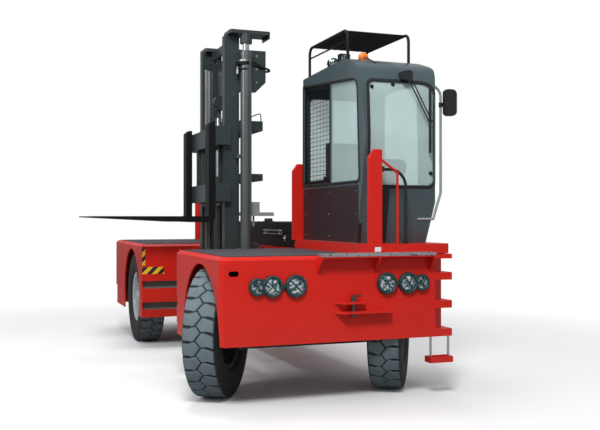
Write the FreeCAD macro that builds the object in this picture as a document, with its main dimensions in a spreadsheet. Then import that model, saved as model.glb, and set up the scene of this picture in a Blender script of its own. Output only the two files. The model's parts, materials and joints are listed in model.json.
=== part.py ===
"""Side loader forklift: a four-wheel truck that carries long loads along its right side.

X points to the truck's left, Y to its rear and Z up, in millimetres. The sizes below are measured
from the datum, the point on the ground under the middle of the front axle. Every sub-part is built
from that datum and then placed so that the middle of the whole truck's footprint is the origin.
"""
import FreeCAD, Part
import math
import os
import re

import Sketcher

Vector = FreeCAD.Vector

SIZES = {
    # chassis
    "bumper_front": -645, "well_front": 1010, "well_rear": "=wheelbase - 750",
    "rear_end": "=wheelbase + 1335",
    "flank_face": 965, "plate": 16, "corner_radius": 90,
    "bumper_bottom": 533, "flank_bottom": 444, "rear_bottom": 375,
    "deck_top": 1260, "deck_skin": 6, "deck_slab": 44, "deck_bevel": 28, "deck_margin": 55,
    "side_inner": 300, "inner_wall": 255, "rear_inner_wall": 560,
    "rear_lip_bottom": 625, "rear_lip": 90,
    "front_arch_radius": 652, "front_arch_y": 66, "front_arch_z": 519,
    "rear_arch_radius": 592, "rear_arch_y": "=wheelbase + 15", "rear_arch_z": 586,
    # guide channels of the travelling mast
    "guide_bottom": 722, "guide_opening": 88, "guide_depth": 92, "guide_wall": 12,
    "low_guide_bottom": 468,
    # running gear
    "wheelbase": 3740, "kingpin_x": 678, "kingpin_offset": 145, "steer_rest": -32,
    "tyre_radius": 565, "tyre_width": 310, "tread_width": 252, "rim_radius": 292, "rim_width": 216,
    "disc_thickness": 18, "hub_radius": 118, "rear_wheel_x": 780,
    "kingpin_radius": 28, "stub_radius": 45, "axle_height": 150, "axle_width": 130,
    "arm_length": 210, "arm_height": 420, "saddle_top": 760, "running_clearance": 0.1,
    # mast
    "mast_face": -360, "mast_back": -200, "mast_front_y": "=mast_centre_y - 540", "mast_width": 100,
    "mast_centre_y": "=(well_front + well_rear) / 2", "mast_foot": 320, "mast_top": 3497,
    "crosshead_top": "=mast_top + 37",
    "mast_wall": 18, "crosshead_back": 110, "crosshead_front_x": -330,
    "lift_tube_radius": 60, "lift_rod_radius": 35, "lift_tube_x": -146, "lift_tube_y": "=mast_centre_y - 611",
    "lift_tube_foot": 440, "lift_tube_top": "=mast_top - 167", "lift_rod_foot": 1150,
    "ram_x": -275, "ram_tube_radius": 58, "ram_radius": 38, "ram_neck_radius": 18,
    "ram_tube_foot": 460, "ram_tube_top": 2030, "ram_foot": 1420, "ram_shoulder": 2680,
    "sheave_z": 2860, "sheave_radius": 66, "sheave_width": 104,
    # fork carriage
    "fork_face": -545, "fork_thick": 70, "fork_width": 150, "fork_tip": -1735, "fork_tip_thick": 12,
    "fork_top": 1588, "fork_heel": 62, "fork_shank_top": 2576, "fork_spread": 1050,
    "bar_thick": 50, "bar_half_length": 620, "top_bar_low": 2335, "top_bar_high": 2530,
    "low_bar_low": 1742, "low_bar_high": 1932, "tilt_pin_x": -395, "tilt_pin_z": 1837,
    "tilt_pin_radius": 25,
    # cab and what stands round it
    "sill_top": 1345, "sill_left": 1125, "sill_radius": 60, "post_top": 2156, "post_bevel": 72,
    "post_width": 120, "post_depth": 50,
    "cab_right": 350, "cab_left": 1127, "cab_rear": 1030, "cab_front": -470, "cab_wall": 35,
    "cab_roof": 2992, "cab_crown": 38, "window_sill": 1862, "window_top": 2775,
    "glass_sill": 1905, "side_glass_front": -395, "side_glass_rear": 975, "side_glass_top": 2905,
    "side_glass_low_top": 2790, "divider_front": 262, "divider_rear": 284, "back_glass_top": 2800,
    "door_sill": "=sill_top + 45", "door_top": 2880, "door_glass_sill": 1740, "door_glass_top": 2830,
    "seat_right": 520, "seat_left": 930, "column_x": 720, "column_y": -120,
    "cab_corner": 110, "cab_tuck": 95, "cab_waist": 1900, "cab_shoulder": 130,
    "guard_top": "=cab_roof + 340", "guard_right": 425, "guard_left": 1055, "guard_front": 20,
    "guard_rear": 1000, "guard_bend": 75,
    "guard_tube": 14, "mirror_left": 1251,
    # front ledge and steps
    "ledge_front": -757, "ledge_right": -145, "ledge_left": 915, "ledge_thick": 26,
    "step_left": 1134, "step_pitch": 247, "top_step": 1093, "step_lip": 66,
    # hood
    "hood_top": 1520, "hood_wall": 5, "door_front": -190, "door_rear": 760,
}

doc = FreeCAD.newDocument("side_loader")
sheet = doc.addObject("Spreadsheet::Sheet", "Sizes")
for row, (alias, value) in enumerate(SIZES.items(), start=1):
    sheet.set(f"A{row}", alias)
    sheet.set(f"B{row}", str(value))
    sheet.setAlias(f"B{row}", alias)
doc.recompute()

ALIAS = re.compile(r"\b(" + "|".join(SIZES) + r")\b")
NODES = []


def linked(text):
    """An expression with each size's name pointing at its cell."""
    return ALIAS.sub(r"Sizes.\1", str(text))


def size(text):
    """The present value of an expression made of size names."""
    value = sheet.evalExpression(linked(text))
    return float(getattr(value, "Value", value))


def bind(thing, **places):
    """Tie properties to the sheet; two underscores stand for a dot."""
    for path, text in places.items():
        thing.setExpression(path.replace("__", "."), linked(text))
    return thing


SHIFT_X = "(-(fork_tip + mirror_left) / 2)"
SHIFT_Y = "(-(ledge_front + rear_end) / 2)"
PLANES = {"XY": (1, 2), "XZ": (1, 3), "YZ": (2, 3)}
AXES = {"X": Vector(1, 0, 0), "Y": Vector(0, 1, 0), "Z": Vector(0, 0, 1)}


def box(x, y, z):
    """A block from the lowest to the highest corner, each axis as a pair of expressions."""
    block = doc.addObject("Part::Box", "block")
    pairs = zip(("Length", "Width", "Height"), "xyz", (x, y, z))
    for side, axis, (low, high) in pairs:
        block.setExpression(side, linked(f"({high}) - ({low})"))
        block.setExpression(f"Placement.Base.{axis}", linked(low))
    return block


def rod(axis, x, y, z, radius, length):
    """A cylinder that starts at x, y, z and runs along +axis."""
    bar = doc.addObject("Part::Cylinder", "rod")
    bar.Placement.Rotation = FreeCAD.Rotation(AXES["Z"], AXES[axis])
    bind(bar, Radius=radius, Height=length)
    return bind(bar, Placement__Base__x=x, Placement__Base__y=y, Placement__Base__z=z)


def tube(axis, x, y, z, radius, bore, length):
    """A rod with a bore right through it."""
    return cut(rod(axis, x, y, z, radius, length), rod(axis, x, y, z, bore, length))


def elbow(centre, about, first, sweep, bend, radius):
    """Part of a ring: a bar's bend round a centre. The angle runs from X, or from Y about X."""
    ring = doc.addObject("Part::Torus", "elbow")
    turn = {"X": "rotation(vector(1; 1; 1); 120)", "Y": "rotation(vector(1; 0; 0); 90)",
            "Z": "rotation(vector(0; 0; 1); 0)"}[about]
    bind(ring, Radius1=bend, Radius2=radius, Angle3=sweep)
    middle = f"vector({centre[0]}; {centre[1]}; {centre[2]})"
    bind(ring, Placement=f"placement({middle}; {turn} * rotation(vector(0; 0; 1); {first}))")
    return ring


def slant(x, y, z, radius):
    """A round bar in a plane across the truck, between two pairs of X and Z."""
    bar = doc.addObject("Part::Cylinder", "slant")
    run, rise = f"({x[1]}) - ({x[0]})", f"({z[1]}) - ({z[0]})"
    bind(bar, Radius=radius, Height=f"hypot({run}; {rise})")
    middle = f"vector({x[0]}; {y}; {z[0]})"
    return bind(bar, Placement=f"placement({middle}; rotation(vector(0; 1; 0); atan2({run}; {rise})))")


def ball(x, y, z, radius):
    """A round end or joint of a bar."""
    knob = doc.addObject("Part::Sphere", "ball")
    return bind(knob, Radius=radius, Placement__Base__x=x, Placement__Base__y=y, Placement__Base__z=z)


def join(*pieces):
    """One solid out of pieces that touch or overlap."""
    whole = doc.addObject("Part::MultiFuse", "joined")
    whole.Shapes = list(pieces)
    return whole


def cut(base, *tools):
    """The base with every tool taken out of it."""
    for tool in tools:
        rest = doc.addObject("Part::Cut", "cut")
        rest.Base = base
        rest.Tool = tool
        base = rest
    return base


def common(base, tool):
    """What two pieces share."""
    shared = doc.addObject("Part::Common", "shared")
    shared.Base = base
    shared.Tool = tool
    return shared


def sketch(body, plane, corners, offset):
    """A closed sketch with straight sides through the corners, each bound to its own expressions."""
    drawing = body.newObject("Sketcher::SketchObject", body.Name + "_sketch")
    support = next(f for f in body.Origin.OriginFeatures if f.Role == plane + "_Plane")
    drawing.AttachmentSupport = (support, [""])
    drawing.MapMode = "FlatFace"
    drawing.setExpression("AttachmentOffset.Base.z", linked(offset))
    spots = [Vector(size(across), size(up), 0) for across, up in corners]
    count = len(corners)
    for index, spot in enumerate(spots):
        drawing.addGeometry(Part.LineSegment(spot, spots[(index + 1) % count]))
    for index in range(count):
        drawing.addConstraint(Sketcher.Constraint("Coincident", index, 2, (index + 1) % count, 1))
    for index, spot in enumerate(spots):
        for kind, value, text in zip(("DistanceX", "DistanceY"), (spot.x, spot.y), corners[index]):
            rule = drawing.addConstraint(Sketcher.Constraint(kind, -1, 1, index, 1, value))
            drawing.setExpression(f"Constraints[{rule}]", linked(text))
    return drawing


def edges_at(shape, spots):
    """Names of the edges that hold any of the spots at their middle or their centre."""
    names = []
    for index, edge in enumerate(shape.Edges, start=1):
        middle = edge.valueAt((edge.FirstParameter + edge.LastParameter) / 2)
        centre = edge.Curve.Center if edge.Curve.TypeId == "Part::GeomCircle" else middle
        for spot, radius in spots:
            near = (middle - spot).Length < 0.01 if radius is None else (
                (centre - spot).Length < 0.01 and edge.Curve.TypeId == "Part::GeomCircle"
                and abs(edge.Curve.Radius - radius) < 0.01)
            if near:
                names.append(f"Edge{index}")
                break
    return names


def soften(body, feature, rounds, spots):
    """Round edges of a body's last feature, one fillet to each radius."""
    for radius in dict.fromkeys(rounds.values()):
        doc.recompute()
        wanted = [spots[index] for index, text in rounds.items() if text == radius]
        fillet = body.newObject("PartDesign::Fillet", body.Name + "_round")
        fillet.Base = (feature, edges_at(feature.Shape, wanted))
        fillet.setExpression("Radius", linked(radius))
        feature = fillet


def outline(plane, corners, start, end, rounds=None):
    """A flat outline on a plane, thick from start to end, with chosen corners rounded."""
    body = doc.addObject("PartDesign::Body", "body")
    against = plane == "XZ"
    drawing = sketch(body, plane, corners, f"-({end})" if against else start)
    pad = body.newObject("PartDesign::Pad", body.Name + "_pad")
    pad.Profile = drawing
    pad.setExpression("Length", linked(f"({end}) - ({start})"))
    if rounds:
        middle = size(f"(({start}) + ({end})) / 2")
        spots = {index: (spread(plane, corners[index], middle), None) for index in rounds}
        soften(body, pad, rounds, spots)
    return body


def spread(plane, corner, depth):
    """A corner of a plane's outline as a point in space."""
    across, up = size(corner[0]), size(corner[1])
    return {"XY": Vector(across, up, depth), "XZ": Vector(across, depth, up),
            "YZ": Vector(depth, across, up)}[plane]


def spun(corners, rounds=None):
    """A profile of (along X, radius) corners turned round the X axis, with chosen rims rounded."""
    body = doc.addObject("PartDesign::Body", "body")
    drawing = sketch(body, "XZ", corners, "0")
    turn = body.newObject("PartDesign::Revolution", body.Name + "_turn")
    turn.Profile = drawing
    turn.ReferenceAxis = (drawing, ["H_Axis"])
    turn.Angle = 360
    if rounds:
        spots = {index: (Vector(size(corners[index][0]), 0, 0), size(corners[index][1]))
                 for index in rounds}
        soften(body, turn, rounds, spots)
    return body


def node(label, *solids, at=None, turn=None):
    """A named sub-part: its solids, moved from the datum to the truck's own origin."""
    part = doc.addObject("Part::Compound", label)
    part.Label = label
    part.Links = list(solids)
    x, y, z = at or ("0", "0", "0")
    place = f"vector({SHIFT_X} + {x}; {SHIFT_Y} + {y}; {z})"
    turning = f"rotation(vector(0; 0; 1); {turn or 0})"
    part.setExpression("Placement", linked(f"placement({place}; {turning})"))
    NODES.append(part)
    return part


# ---------------------------------------------------------------- chassis

def box_frame(front, rear, low, rounds):
    """Side, end and top plates of one end of the chassis, open below."""
    corners = [("-flank_face", front), ("flank_face", front), ("flank_face", rear), ("-flank_face", rear)]
    inset = [("-flank_face + plate", f"{front} + plate"), ("flank_face - plate", f"{front} + plate"),
             ("flank_face - plate", f"{rear} - plate"), ("-flank_face + plate", f"{rear} - plate")]
    slab = "deck_top - deck_skin - deck_slab"
    outside = outline("XY", corners, low, slab, rounds)
    tighter = {index: f"{radius} - plate" for index, radius in rounds.items()}
    return cut(outside, outline("XY", inset, f"{low} - 10", f"{slab} + 10", tighter))


def deck_slab(front, rear, rounds):
    """The top plate of one end of the chassis, its outer edge bevelled."""
    corners = [("-flank_face", front), ("flank_face", front), ("flank_face", rear), ("-flank_face", rear)]
    body = outline("XY", corners, "deck_top - deck_skin - deck_slab", "deck_top - deck_skin", rounds)
    doc.recompute()
    top = size("deck_top - deck_skin")
    names = [f"Edge{index}" for index, edge in enumerate(body.Shape.Edges, start=1)
             if abs(edge.BoundBox.ZMin - top) < 0.01 and abs(edge.BoundBox.ZMax - top) < 0.01]
    flat = body.Tip
    bevel = body.newObject("PartDesign::Chamfer", body.Name + "_bevel")
    bevel.Base = (flat, names)
    bevel.setExpression("Size", linked("deck_bevel"))
    return body


def guide_slots(wall_low, wall_high):
    """The two long slots that a well wall has for the mast's guide channels."""
    span = ("-flank_face - 10", "side_inner")
    wall = (wall_low, wall_high)
    return [box(span, wall, (low, f"{low} + guide_opening")) for low in ("guide_bottom",
                                                                         "low_guide_bottom")]


def front_frame():
    """Bumper, flanks with their wheel arches, well wall and deck slab of the front end."""
    shell = box_frame("bumper_front", "well_front", "flank_bottom", {0: "corner_radius"})
    slab = deck_slab("bumper_front", "well_front", {0: "corner_radius"})
    lower = box(("-flank_face - 10", "flank_face + 10"), ("bumper_front - 10", "front_arch_y"),
                ("flank_bottom - 10", "bumper_bottom"))
    arch = rod("X", "-flank_face - 20", "front_arch_y", "front_arch_z", "front_arch_radius",
               "2 * flank_face + 40")
    walls = [box((f"{side} - plate / 2", f"{side} + plate / 2"),
                 ("bumper_front + plate", "well_front - plate - guide_depth - 1"),
                 ("saddle_top", "deck_top - deck_skin - deck_slab")) for side in ("-inner_wall",
                                                                                  "inner_wall")]
    keep = box(("-flank_face + 1.5 * plate", "flank_face - 1.5 * plate"),
               ("bumper_front", "bumper_front + plate"),
               ("bumper_bottom", "deck_top - deck_skin - deck_slab"))
    back = box(("-flank_face + plate", "flank_face - plate"), ("well_front - plate", "well_front"),
               ("flank_bottom", "deck_top - deck_skin - deck_slab"))
    hole_x, hole_z, reach = "-flank_face + 105", "1120", "22"
    hole = join(box((f"{hole_x} - {reach}", f"{hole_x} + {reach}"), ("bumper_front - 10",
                                                                     "bumper_front + 60"),
                    (f"{hole_z} - 22", f"{hole_z} + 22")),
                rod("Y", f"{hole_x} - {reach}", "bumper_front - 10", hole_z, "22", "70"),
                rod("Y", f"{hole_x} + {reach}", "bumper_front - 10", hole_z, "22", "70"))
    gussets = [outline("YZ", [("bumper_front + 1", "deck_top - 10"), ("ledge_front + 4", "deck_top - 10"),
                              ("ledge_front + 4", "deck_top - 40"), ("bumper_front + 1", "deck_top - 158")],
                       f"{x} - 6", f"{x} + 6")
               for x in ("ledge_right + 6", "(ledge_right + ledge_left) / 2", "ledge_left - 6")]
    shelf = box(("ledge_right", "ledge_left"), ("ledge_front + 4", "bumper_front + 1"),
                ("deck_top - 22", "deck_top - 10"))
    wells = guide_slots("well_front - plate - 10", "well_front + 10")
    frame = join(cut(shell, lower, arch), slab, *walls, keep, back, *gussets, shelf, *step_plates())
    node("front_frame", cut(frame, hole, *wells))


def step_plates():
    """Three treads at the left front corner, flush with the bumper, and the plate behind them."""
    inner, outer = "flank_face - 30", "step_left"
    back_in, back_out = "bumper_front + 56", "bumper_front + 190"
    plates = []
    for count in range(3):
        top = f"top_step - {count} * step_pitch"
        corners = [(inner, "bumper_front"), (outer, "bumper_front"), (outer, back_out), (inner, back_in)]
        plates.append(outline("XY", corners, f"{top} - 8", top))
        lip = [(inner, "bumper_front"), (outer, "bumper_front"), (outer, "bumper_front + 8"),
               (inner, "bumper_front + 8")]
        plates.append(outline("XY", lip, f"{top} - step_lip", top))
    rear = [(inner, back_in), (outer, back_out), (outer, f"{back_out} + 8"), (inner, f"{back_in} + 8")]
    plates.append(outline("XY", rear, "top_step - 2 * step_pitch - step_lip", "deck_top - deck_skin"))
    top = [(inner, "bumper_front"), (outer, "bumper_front"), (outer, back_out), (inner, back_in)]
    plates.append(outline("XY", top, "deck_top - deck_skin - 40", "deck_top - deck_skin"))
    return plates


def rear_frame():
    """Flanks with their wheel arches, well wall, end plate and deck slab of the rear end."""
    shell = box_frame("well_rear", "rear_end", "rear_bottom", {})
    slab = deck_slab("well_rear", "rear_end", {})
    arch = rod("X", "-flank_face - 20", "rear_arch_y", "rear_arch_z", "rear_arch_radius",
               "2 * flank_face + 40")
    tuck = box(("-flank_face - 10", "flank_face + 10"), ("rear_end - rear_lip", "rear_end + 10"),
               ("rear_bottom - 10", "rear_lip_bottom"))
    inset = box(("-flank_face", "flank_face"), ("rear_end - rear_lip - plate", "rear_end - rear_lip"),
                ("rear_bottom", "rear_lip_bottom + plate"))
    shelf = box(("-flank_face", "flank_face"), ("rear_end - rear_lip - plate", "rear_end"),
                ("rear_lip_bottom", "rear_lip_bottom + plate"))
    walls = [box((f"{side} - plate / 2", f"{side} + plate / 2"),
                 ("well_rear + plate + guide_depth + 1", "rear_end - rear_lip"),
                 ("rear_bottom + 300", "deck_top - deck_skin - deck_slab"))
             for side in ("-rear_inner_wall", "rear_inner_wall")]
    wells = guide_slots("well_rear - 10", "well_rear + plate + 10")
    frame = join(cut(shell, arch, tuck), slab, inset, shelf, *walls)
    node("rear_frame", cut(frame, *wells))


HOOD_HINGES = ("well_front + 300", "well_rear - 500")
HOOD_PIN_X, HOOD_PIN_Z = "flank_face + 16", "deck_top - deck_skin + 12"


def hood_pins():
    """The pins that the hood's hinges turn on, each between two lugs on the side frame."""
    pins = []
    for spot in HOOD_HINGES:
        pins.append(rod("Y", HOOD_PIN_X, f"{spot} - 28", HOOD_PIN_Z, "6", "116"))
        for front, rear in ((f"{spot} - 28", f"{spot} - 6"), (f"{spot} + 66", f"{spot} + 88")):
            pins.append(box(("flank_face - 2", "flank_face + 24"), (front, rear),
                            (f"{HOOD_PIN_Z} - 40", f"{HOOD_PIN_Z} + 8")))
    return pins


def side_frame():
    """The deep beam along the left side that joins the two ends past the mast's well."""
    ends = ("well_front", "well_rear")
    top = "deck_top - deck_skin"
    outer = box(("flank_face - plate", "flank_face"), ends, ("flank_bottom", top))
    inner = box(("side_inner", "side_inner + plate"), ends, ("flank_bottom", top))
    floor = box(("side_inner", "flank_face"), ends, ("flank_bottom", "flank_bottom + plate"))
    node("side_frame", join(outer, inner, floor, *hood_pins()))


def guide_channels():
    """Four steel channels behind the slots, in which the mast's rollers run from side to side."""
    span = ("-flank_face + plate + 1", "side_inner - 10")
    rails = []
    for low in ("guide_bottom", "low_guide_bottom"):
        for wall, way in (("well_front - plate", -1), ("well_rear + plate", 1)):
            deep = f"{wall} + {way} * guide_depth"
            thick = f"{wall} + {way} * (guide_depth - guide_wall)"
            beyond = f"{wall} - {way} * 10"
            lows, highs = ((deep, wall), (thick, beyond)) if way < 0 else ((wall, deep), (beyond, thick))
            outside = box(span, lows, (f"{low} - guide_wall", f"{low} + guide_opening + guide_wall"))
            inside = box(("-flank_face", "side_inner"), highs, (low, f"{low} + guide_opening"))
            rails.append(cut(outside, inside))
    node("guide_channels", *rails)


def deck_skins():
    """Dark non-slip sheets let on to both decks."""
    right, left = "-flank_face + deck_margin", "side_inner - 12"
    z = ("deck_top - deck_skin", "deck_top")
    corners = [(right, "bumper_front + deck_margin"), (left, "bumper_front + deck_margin"),
               (left, "well_front - 28"), (right, "well_front - 28")]
    front = outline("XY", corners, *z, {0: "corner_radius"})
    rear = box((right, left), ("well_rear + 28", "rear_end - deck_margin"), z)
    node("deck_skins", front, rear)


def front_ledge():
    """Bright chequer strip along the narrow shelf above the bumper."""
    node("front_ledge", box(("ledge_right", "ledge_left"), ("ledge_front", "bumper_front"),
                            ("deck_top - 10", "deck_top + ledge_thick - 10")))


def lamps():
    """Two mirrored groups of three round lamps: cast housings and the bright lamps inside them."""
    centre, height = "78", "1012"
    spots = (("414", "93", "70"), ("617", "90", "67"), ("745", "72", "52"))
    housings, glasses = [], []
    for way in (-1, 1):
        rings = []
        for place, (away, outer, inner) in enumerate(spots):
            x = f"{centre} + {way} * {away}"
            ring = tube("Y", x, "bumper_front - 28", height, outer, inner, "28")
            glass = rod("Y", x, "bumper_front - 20", height, f"{inner} - 0.3", "20")
            if place == 2:
                overlap = rod("Y", f"{centre} + {way} * {spots[1][0]}", "bumper_front - 40", height,
                              f"{spots[1][1]} - 1", "60")
                wider = rod("Y", f"{centre} + {way} * {spots[1][0]}", "bumper_front - 40", height,
                            f"{spots[1][1]} + 0.3", "60")
                ring, glass = cut(ring, overlap), cut(glass, wider)
            rings.append(ring)
            glasses.append(glass)
        near, far = sorted((f"{centre} + {way} * 500", f"{centre} + {way} * 534"), key=size)
        bridge = box((near, far), ("bumper_front - 28", "bumper_front"),
                     (f"{height} - 12", f"{height} + 12"))
        housings.append(join(bridge, *rings))
    node("lamp_housings", *housings)
    node("lamp_lenses", *glasses)


def tow_coupling():
    """Two jaw plates on the bumper and the drop pin through them."""
    plates = []
    for right, left, top in (("10", "300", "872"), ("10", "545", "790")):
        corners = [(right, "bumper_front"), (left, "bumper_front"), (f"{left} - 45", "bumper_front - 90"),
                   (f"{right} + 65", "bumper_front - 90")]
        plates.append(outline("XY", corners, f"{top} - 20", top))
    bore = rod("Z", "165", "bumper_front - 48", "700", "18", "300")
    node("tow_coupling", cut(plates[0], bore), cut(plates[1], bore))
    pin = join(rod("Z", "165", "bumper_front - 48", "740", "18 - running_clearance", "180"),
               rod("Z", "165", "bumper_front - 48", "872", "27", "14"),
               rod("X", "165", "bumper_front - 48", "918", "9", "70"))
    node("tow_pin", pin)


def hanging_step():
    """The lowest step, hung on four thin rods below the corner so that it gives if it is hit."""
    x0, x1 = "flank_face - 40", "step_left + 14"
    y0, y1 = "bumper_front + 5", "bumper_front + 115"
    tray = cut(box((x0, x1), (y0, y1), ("300", "352")), box((f"{x0} + 6", f"{x1} - 6"),
                                                            (f"{y0} + 6", f"{y1} - 6"), ("306", "360")))
    top = "top_step - 2 * step_pitch - 8"
    hangers = [rod("Z", x, y, "304", "5", f"{top} - 304")
               for x in (f"{x0} + 14", "step_left - 20") for y in (f"{y0} + 18", f"{y0} + 40")]
    node("hanging_step", join(tray, *hangers))


def stake_posts():
    """Three upright posts that keep the load off the cab and hood, and the rail beside the first."""
    posts = []
    for right, front, top, foot in (("side_inner + 35", "bumper_front + 2", "post_top", "sill_top"),
                                    ("side_inner - 36", "cab_rear + 25", "post_top - 28", "sill_top"),
                                    ("side_inner - 150", "rear_end - 170", "post_top - 78", "deck_top")):
        left = f"{right} + post_width"
        corners = [(right, foot), (left, foot), (left, top), (f"{right} + post_bevel * 0.7", top),
                   (right, f"{top} - post_bevel")]
        posts.append(outline("XZ", corners, front, f"{front} + post_depth"))
    x0, x1, y, knee = "side_inner + 150", "side_inner + 312", "bumper_front + 27", "1960"
    rail = join(posts[0], rod("Z", x1, y, "sill_top", "11", f"{knee} - sill_top"), ball(x1, y, knee, "11"),
                slant((x0, x1), y, ("post_top - 80", knee), "11"))
    node("stake_posts", rail, posts[1], posts[2])


def cab_hose():
    """The black hose that loops from a bracket on the front post down to the sill."""
    post, drop, y = "side_inner + 35 + post_width", "side_inner + 417", "bumper_front + 75"
    top, bend = "1990", "150"
    bracket = box((post, f"{post} + 26"), ("bumper_front + 10", f"{y} + 20"),
                  (f"{top} - 24", f"{top} + 24"))
    hose = join(bracket, rod("X", f"{post} + 20", y, top, "13", f"{drop} - {bend} - ({post}) - 20"),
                elbow((f"{drop} - {bend}", y, f"{top} - {bend}"), "Y", "0", "90", bend, "13"),
                rod("Z", drop, y, "sill_top", "13", f"{top} - {bend} - sill_top"),
                rod("Z", drop, y, "sill_top", "22", "30"))
    node("cab_hose", hose)


def cab_sill():
    """The thick red plate that the cab and its posts stand on, its front left corner rounded."""
    corners = [("side_inner", "bumper_front + 2"), ("sill_left", "bumper_front + 2"),
               ("sill_left", "cab_rear + 90"), ("side_inner", "cab_rear + 90")]
    under = box(("side_inner", "flank_face - 30"), ("bumper_front + 60", "cab_rear - 60"),
                ("deck_top - deck_skin", "deck_top"))
    node("cab_sill", join(outline("XY", corners, "deck_top", "sill_top", {1: "sill_radius"}), under))


# ---------------------------------------------------------------- axles and steering

def axles():
    """The beam that carries the kingpins, and the rear axle with its drive housing."""
    half = "axle_height / 2"
    low, high = f"tyre_radius - {half}", f"tyre_radius + {half}"
    reach = "kingpin_x - 75"
    beam = box((f"-({reach})", reach), ("-axle_width / 2", "axle_width / 2"), (low, high))
    saddle = box(("-inner_wall - 60", "inner_wall + 60"), ("-axle_width / 2", "axle_width / 2"),
                 (high, "saddle_top"))
    ends = []
    for way in (-1, 1):
        pin = f"{way} * kingpin_x"
        for z in (f"{low} - 25", f"{high} - 20"):
            span = (f"{pin} - 80", pin) if way > 0 else (pin, f"{pin} + 80")
            ends.append(join(rod("Z", pin, "0", z, "52", "45"), box(span, ("-30", "30"), (z, f"{z} + 45"))))
        ends.append(rod("Z", pin, "0", f"{low} - 30", "kingpin_radius", "axle_height + 90"))
    node("front_axle", join(beam, saddle, *ends))
    pad_y, pad_z = ("wheelbase - 60", "wheelbase + 60"), ("tyre_radius", "900")
    wall = "rear_inner_wall - plate / 2"
    rear = join(rod("X", "-rear_wheel_x + 80", "wheelbase", "tyre_radius", "70", "2 * rear_wheel_x - 160"),
                rod("X", "-rear_wheel_x - 40", "wheelbase", "tyre_radius", "stub_radius",
                    "2 * rear_wheel_x + 80"),
                rod("X", "-150", "wheelbase", "tyre_radius", "190", "300"),
                box((f"-({wall})", f"-({wall}) + 60"), pad_y, pad_z), box((f"{wall} - 60", wall), pad_y,
                                                                          pad_z))
    node("rear_axle", rear)


def knuckles():
    """The steered knuckles: a barrel on the kingpin, a stub axle and a steering arm."""
    low, high = "-axle_height / 2 + 22", "axle_height / 2 - 22"
    for side, way in (("right", -1), ("left", 1)):
        barrel = rod("Z", "0", "0", low, "46", f"{high} - ({low})")
        out = ("0", "kingpin_offset - 66") if way > 0 else ("-kingpin_offset + 66", "0")
        stub_start = "20" if way > 0 else "-kingpin_offset - 40"
        stub = rod("X", stub_start, "0", "0", "stub_radius", "kingpin_offset + 20")
        neck = box(out, ("-44", "44"), (low, high))
        drop = "arm_height - tyre_radius"
        arm = join(box(("-22", "22"), ("58", "arm_length"), (drop, f"{drop} + 24")),
                   box(("-14", "14"), ("58", "80"), (drop, high)),
                   box(("-14", "14"), ("20", "80"), (low, high)),
                   rod("Z", "0", "arm_length", drop, "26", "24"),
                   rod("Z", "0", "arm_length", f"{drop} - 34", "12", "40"))
        body = cut(join(barrel, stub, neck, arm),
                   rod("Z", "0", "0", "-200", "kingpin_radius + running_clearance", "400"))
        node(f"knuckle_{side}", body, at=(f"{way} * kingpin_x", "0", "tyre_radius"), turn="steer_rest")


def tie_rod():
    """The rod between the two steering arms, with an eye on each arm's pin."""
    x = "arm_length * sin(-steer_rest)"
    y = "arm_length * cos(steer_rest)"
    z = "arm_height - 34"
    eyes = [rod("Z", f"{way} * kingpin_x", "0", "0", "30", "26") for way in (-1, 1)]
    bores = [rod("Z", f"{way} * kingpin_x", "0", "-5", "12 + running_clearance", "40") for way in (-1, 1)]
    bar = rod("X", "-kingpin_x", "0", "13", "13", "2 * kingpin_x")
    node("tie_rod", cut(join(bar, *eyes), *bores), at=(x, y, z))


def wheels():
    """Four wheels, each a solid-shouldered tyre on a dished steel rim."""
    half, tread = "tyre_width / 2", "tread_width / 2"
    tyre = [("-rim_width / 2", "rim_radius"), ("-rim_width / 2", "rim_radius + 19"),
            (f"-{half}", "rim_radius + 105"), (f"-{half} + 8", "tyre_radius - 60"),
            (f"-{tread}", "tyre_radius"), (tread, "tyre_radius"), (f"{half} - 8", "tyre_radius - 60"),
            (half, "rim_radius + 105"), ("rim_width / 2", "rim_radius + 19"),
            ("rim_width / 2", "rim_radius")]
    soft = {2: "60", 7: "60", 4: "22", 5: "22"}
    spots = (("front_right", -1, "0", "kingpin_offset", "steer_rest"),
             ("front_left", 1, "0", "kingpin_offset", "steer_rest"),
             ("rear_right", -1, "wheelbase", "0", "0"), ("rear_left", 1, "wheelbase", "0", "0"))
    for name, way, y, offset, turn in spots:
        if offset == "0":
            at = (f"{way} * rear_wheel_x", y, "tyre_radius")
        else:
            at = (f"{way} * (kingpin_x + kingpin_offset * cos(steer_rest))",
                  f"{way} * kingpin_offset * sin(steer_rest)", "tyre_radius")
        node(f"tyre_{name}", spun(tyre, soft), at=at, turn=turn)
        node(f"rim_{name}", rim(way), at=at, turn=turn)


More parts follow.
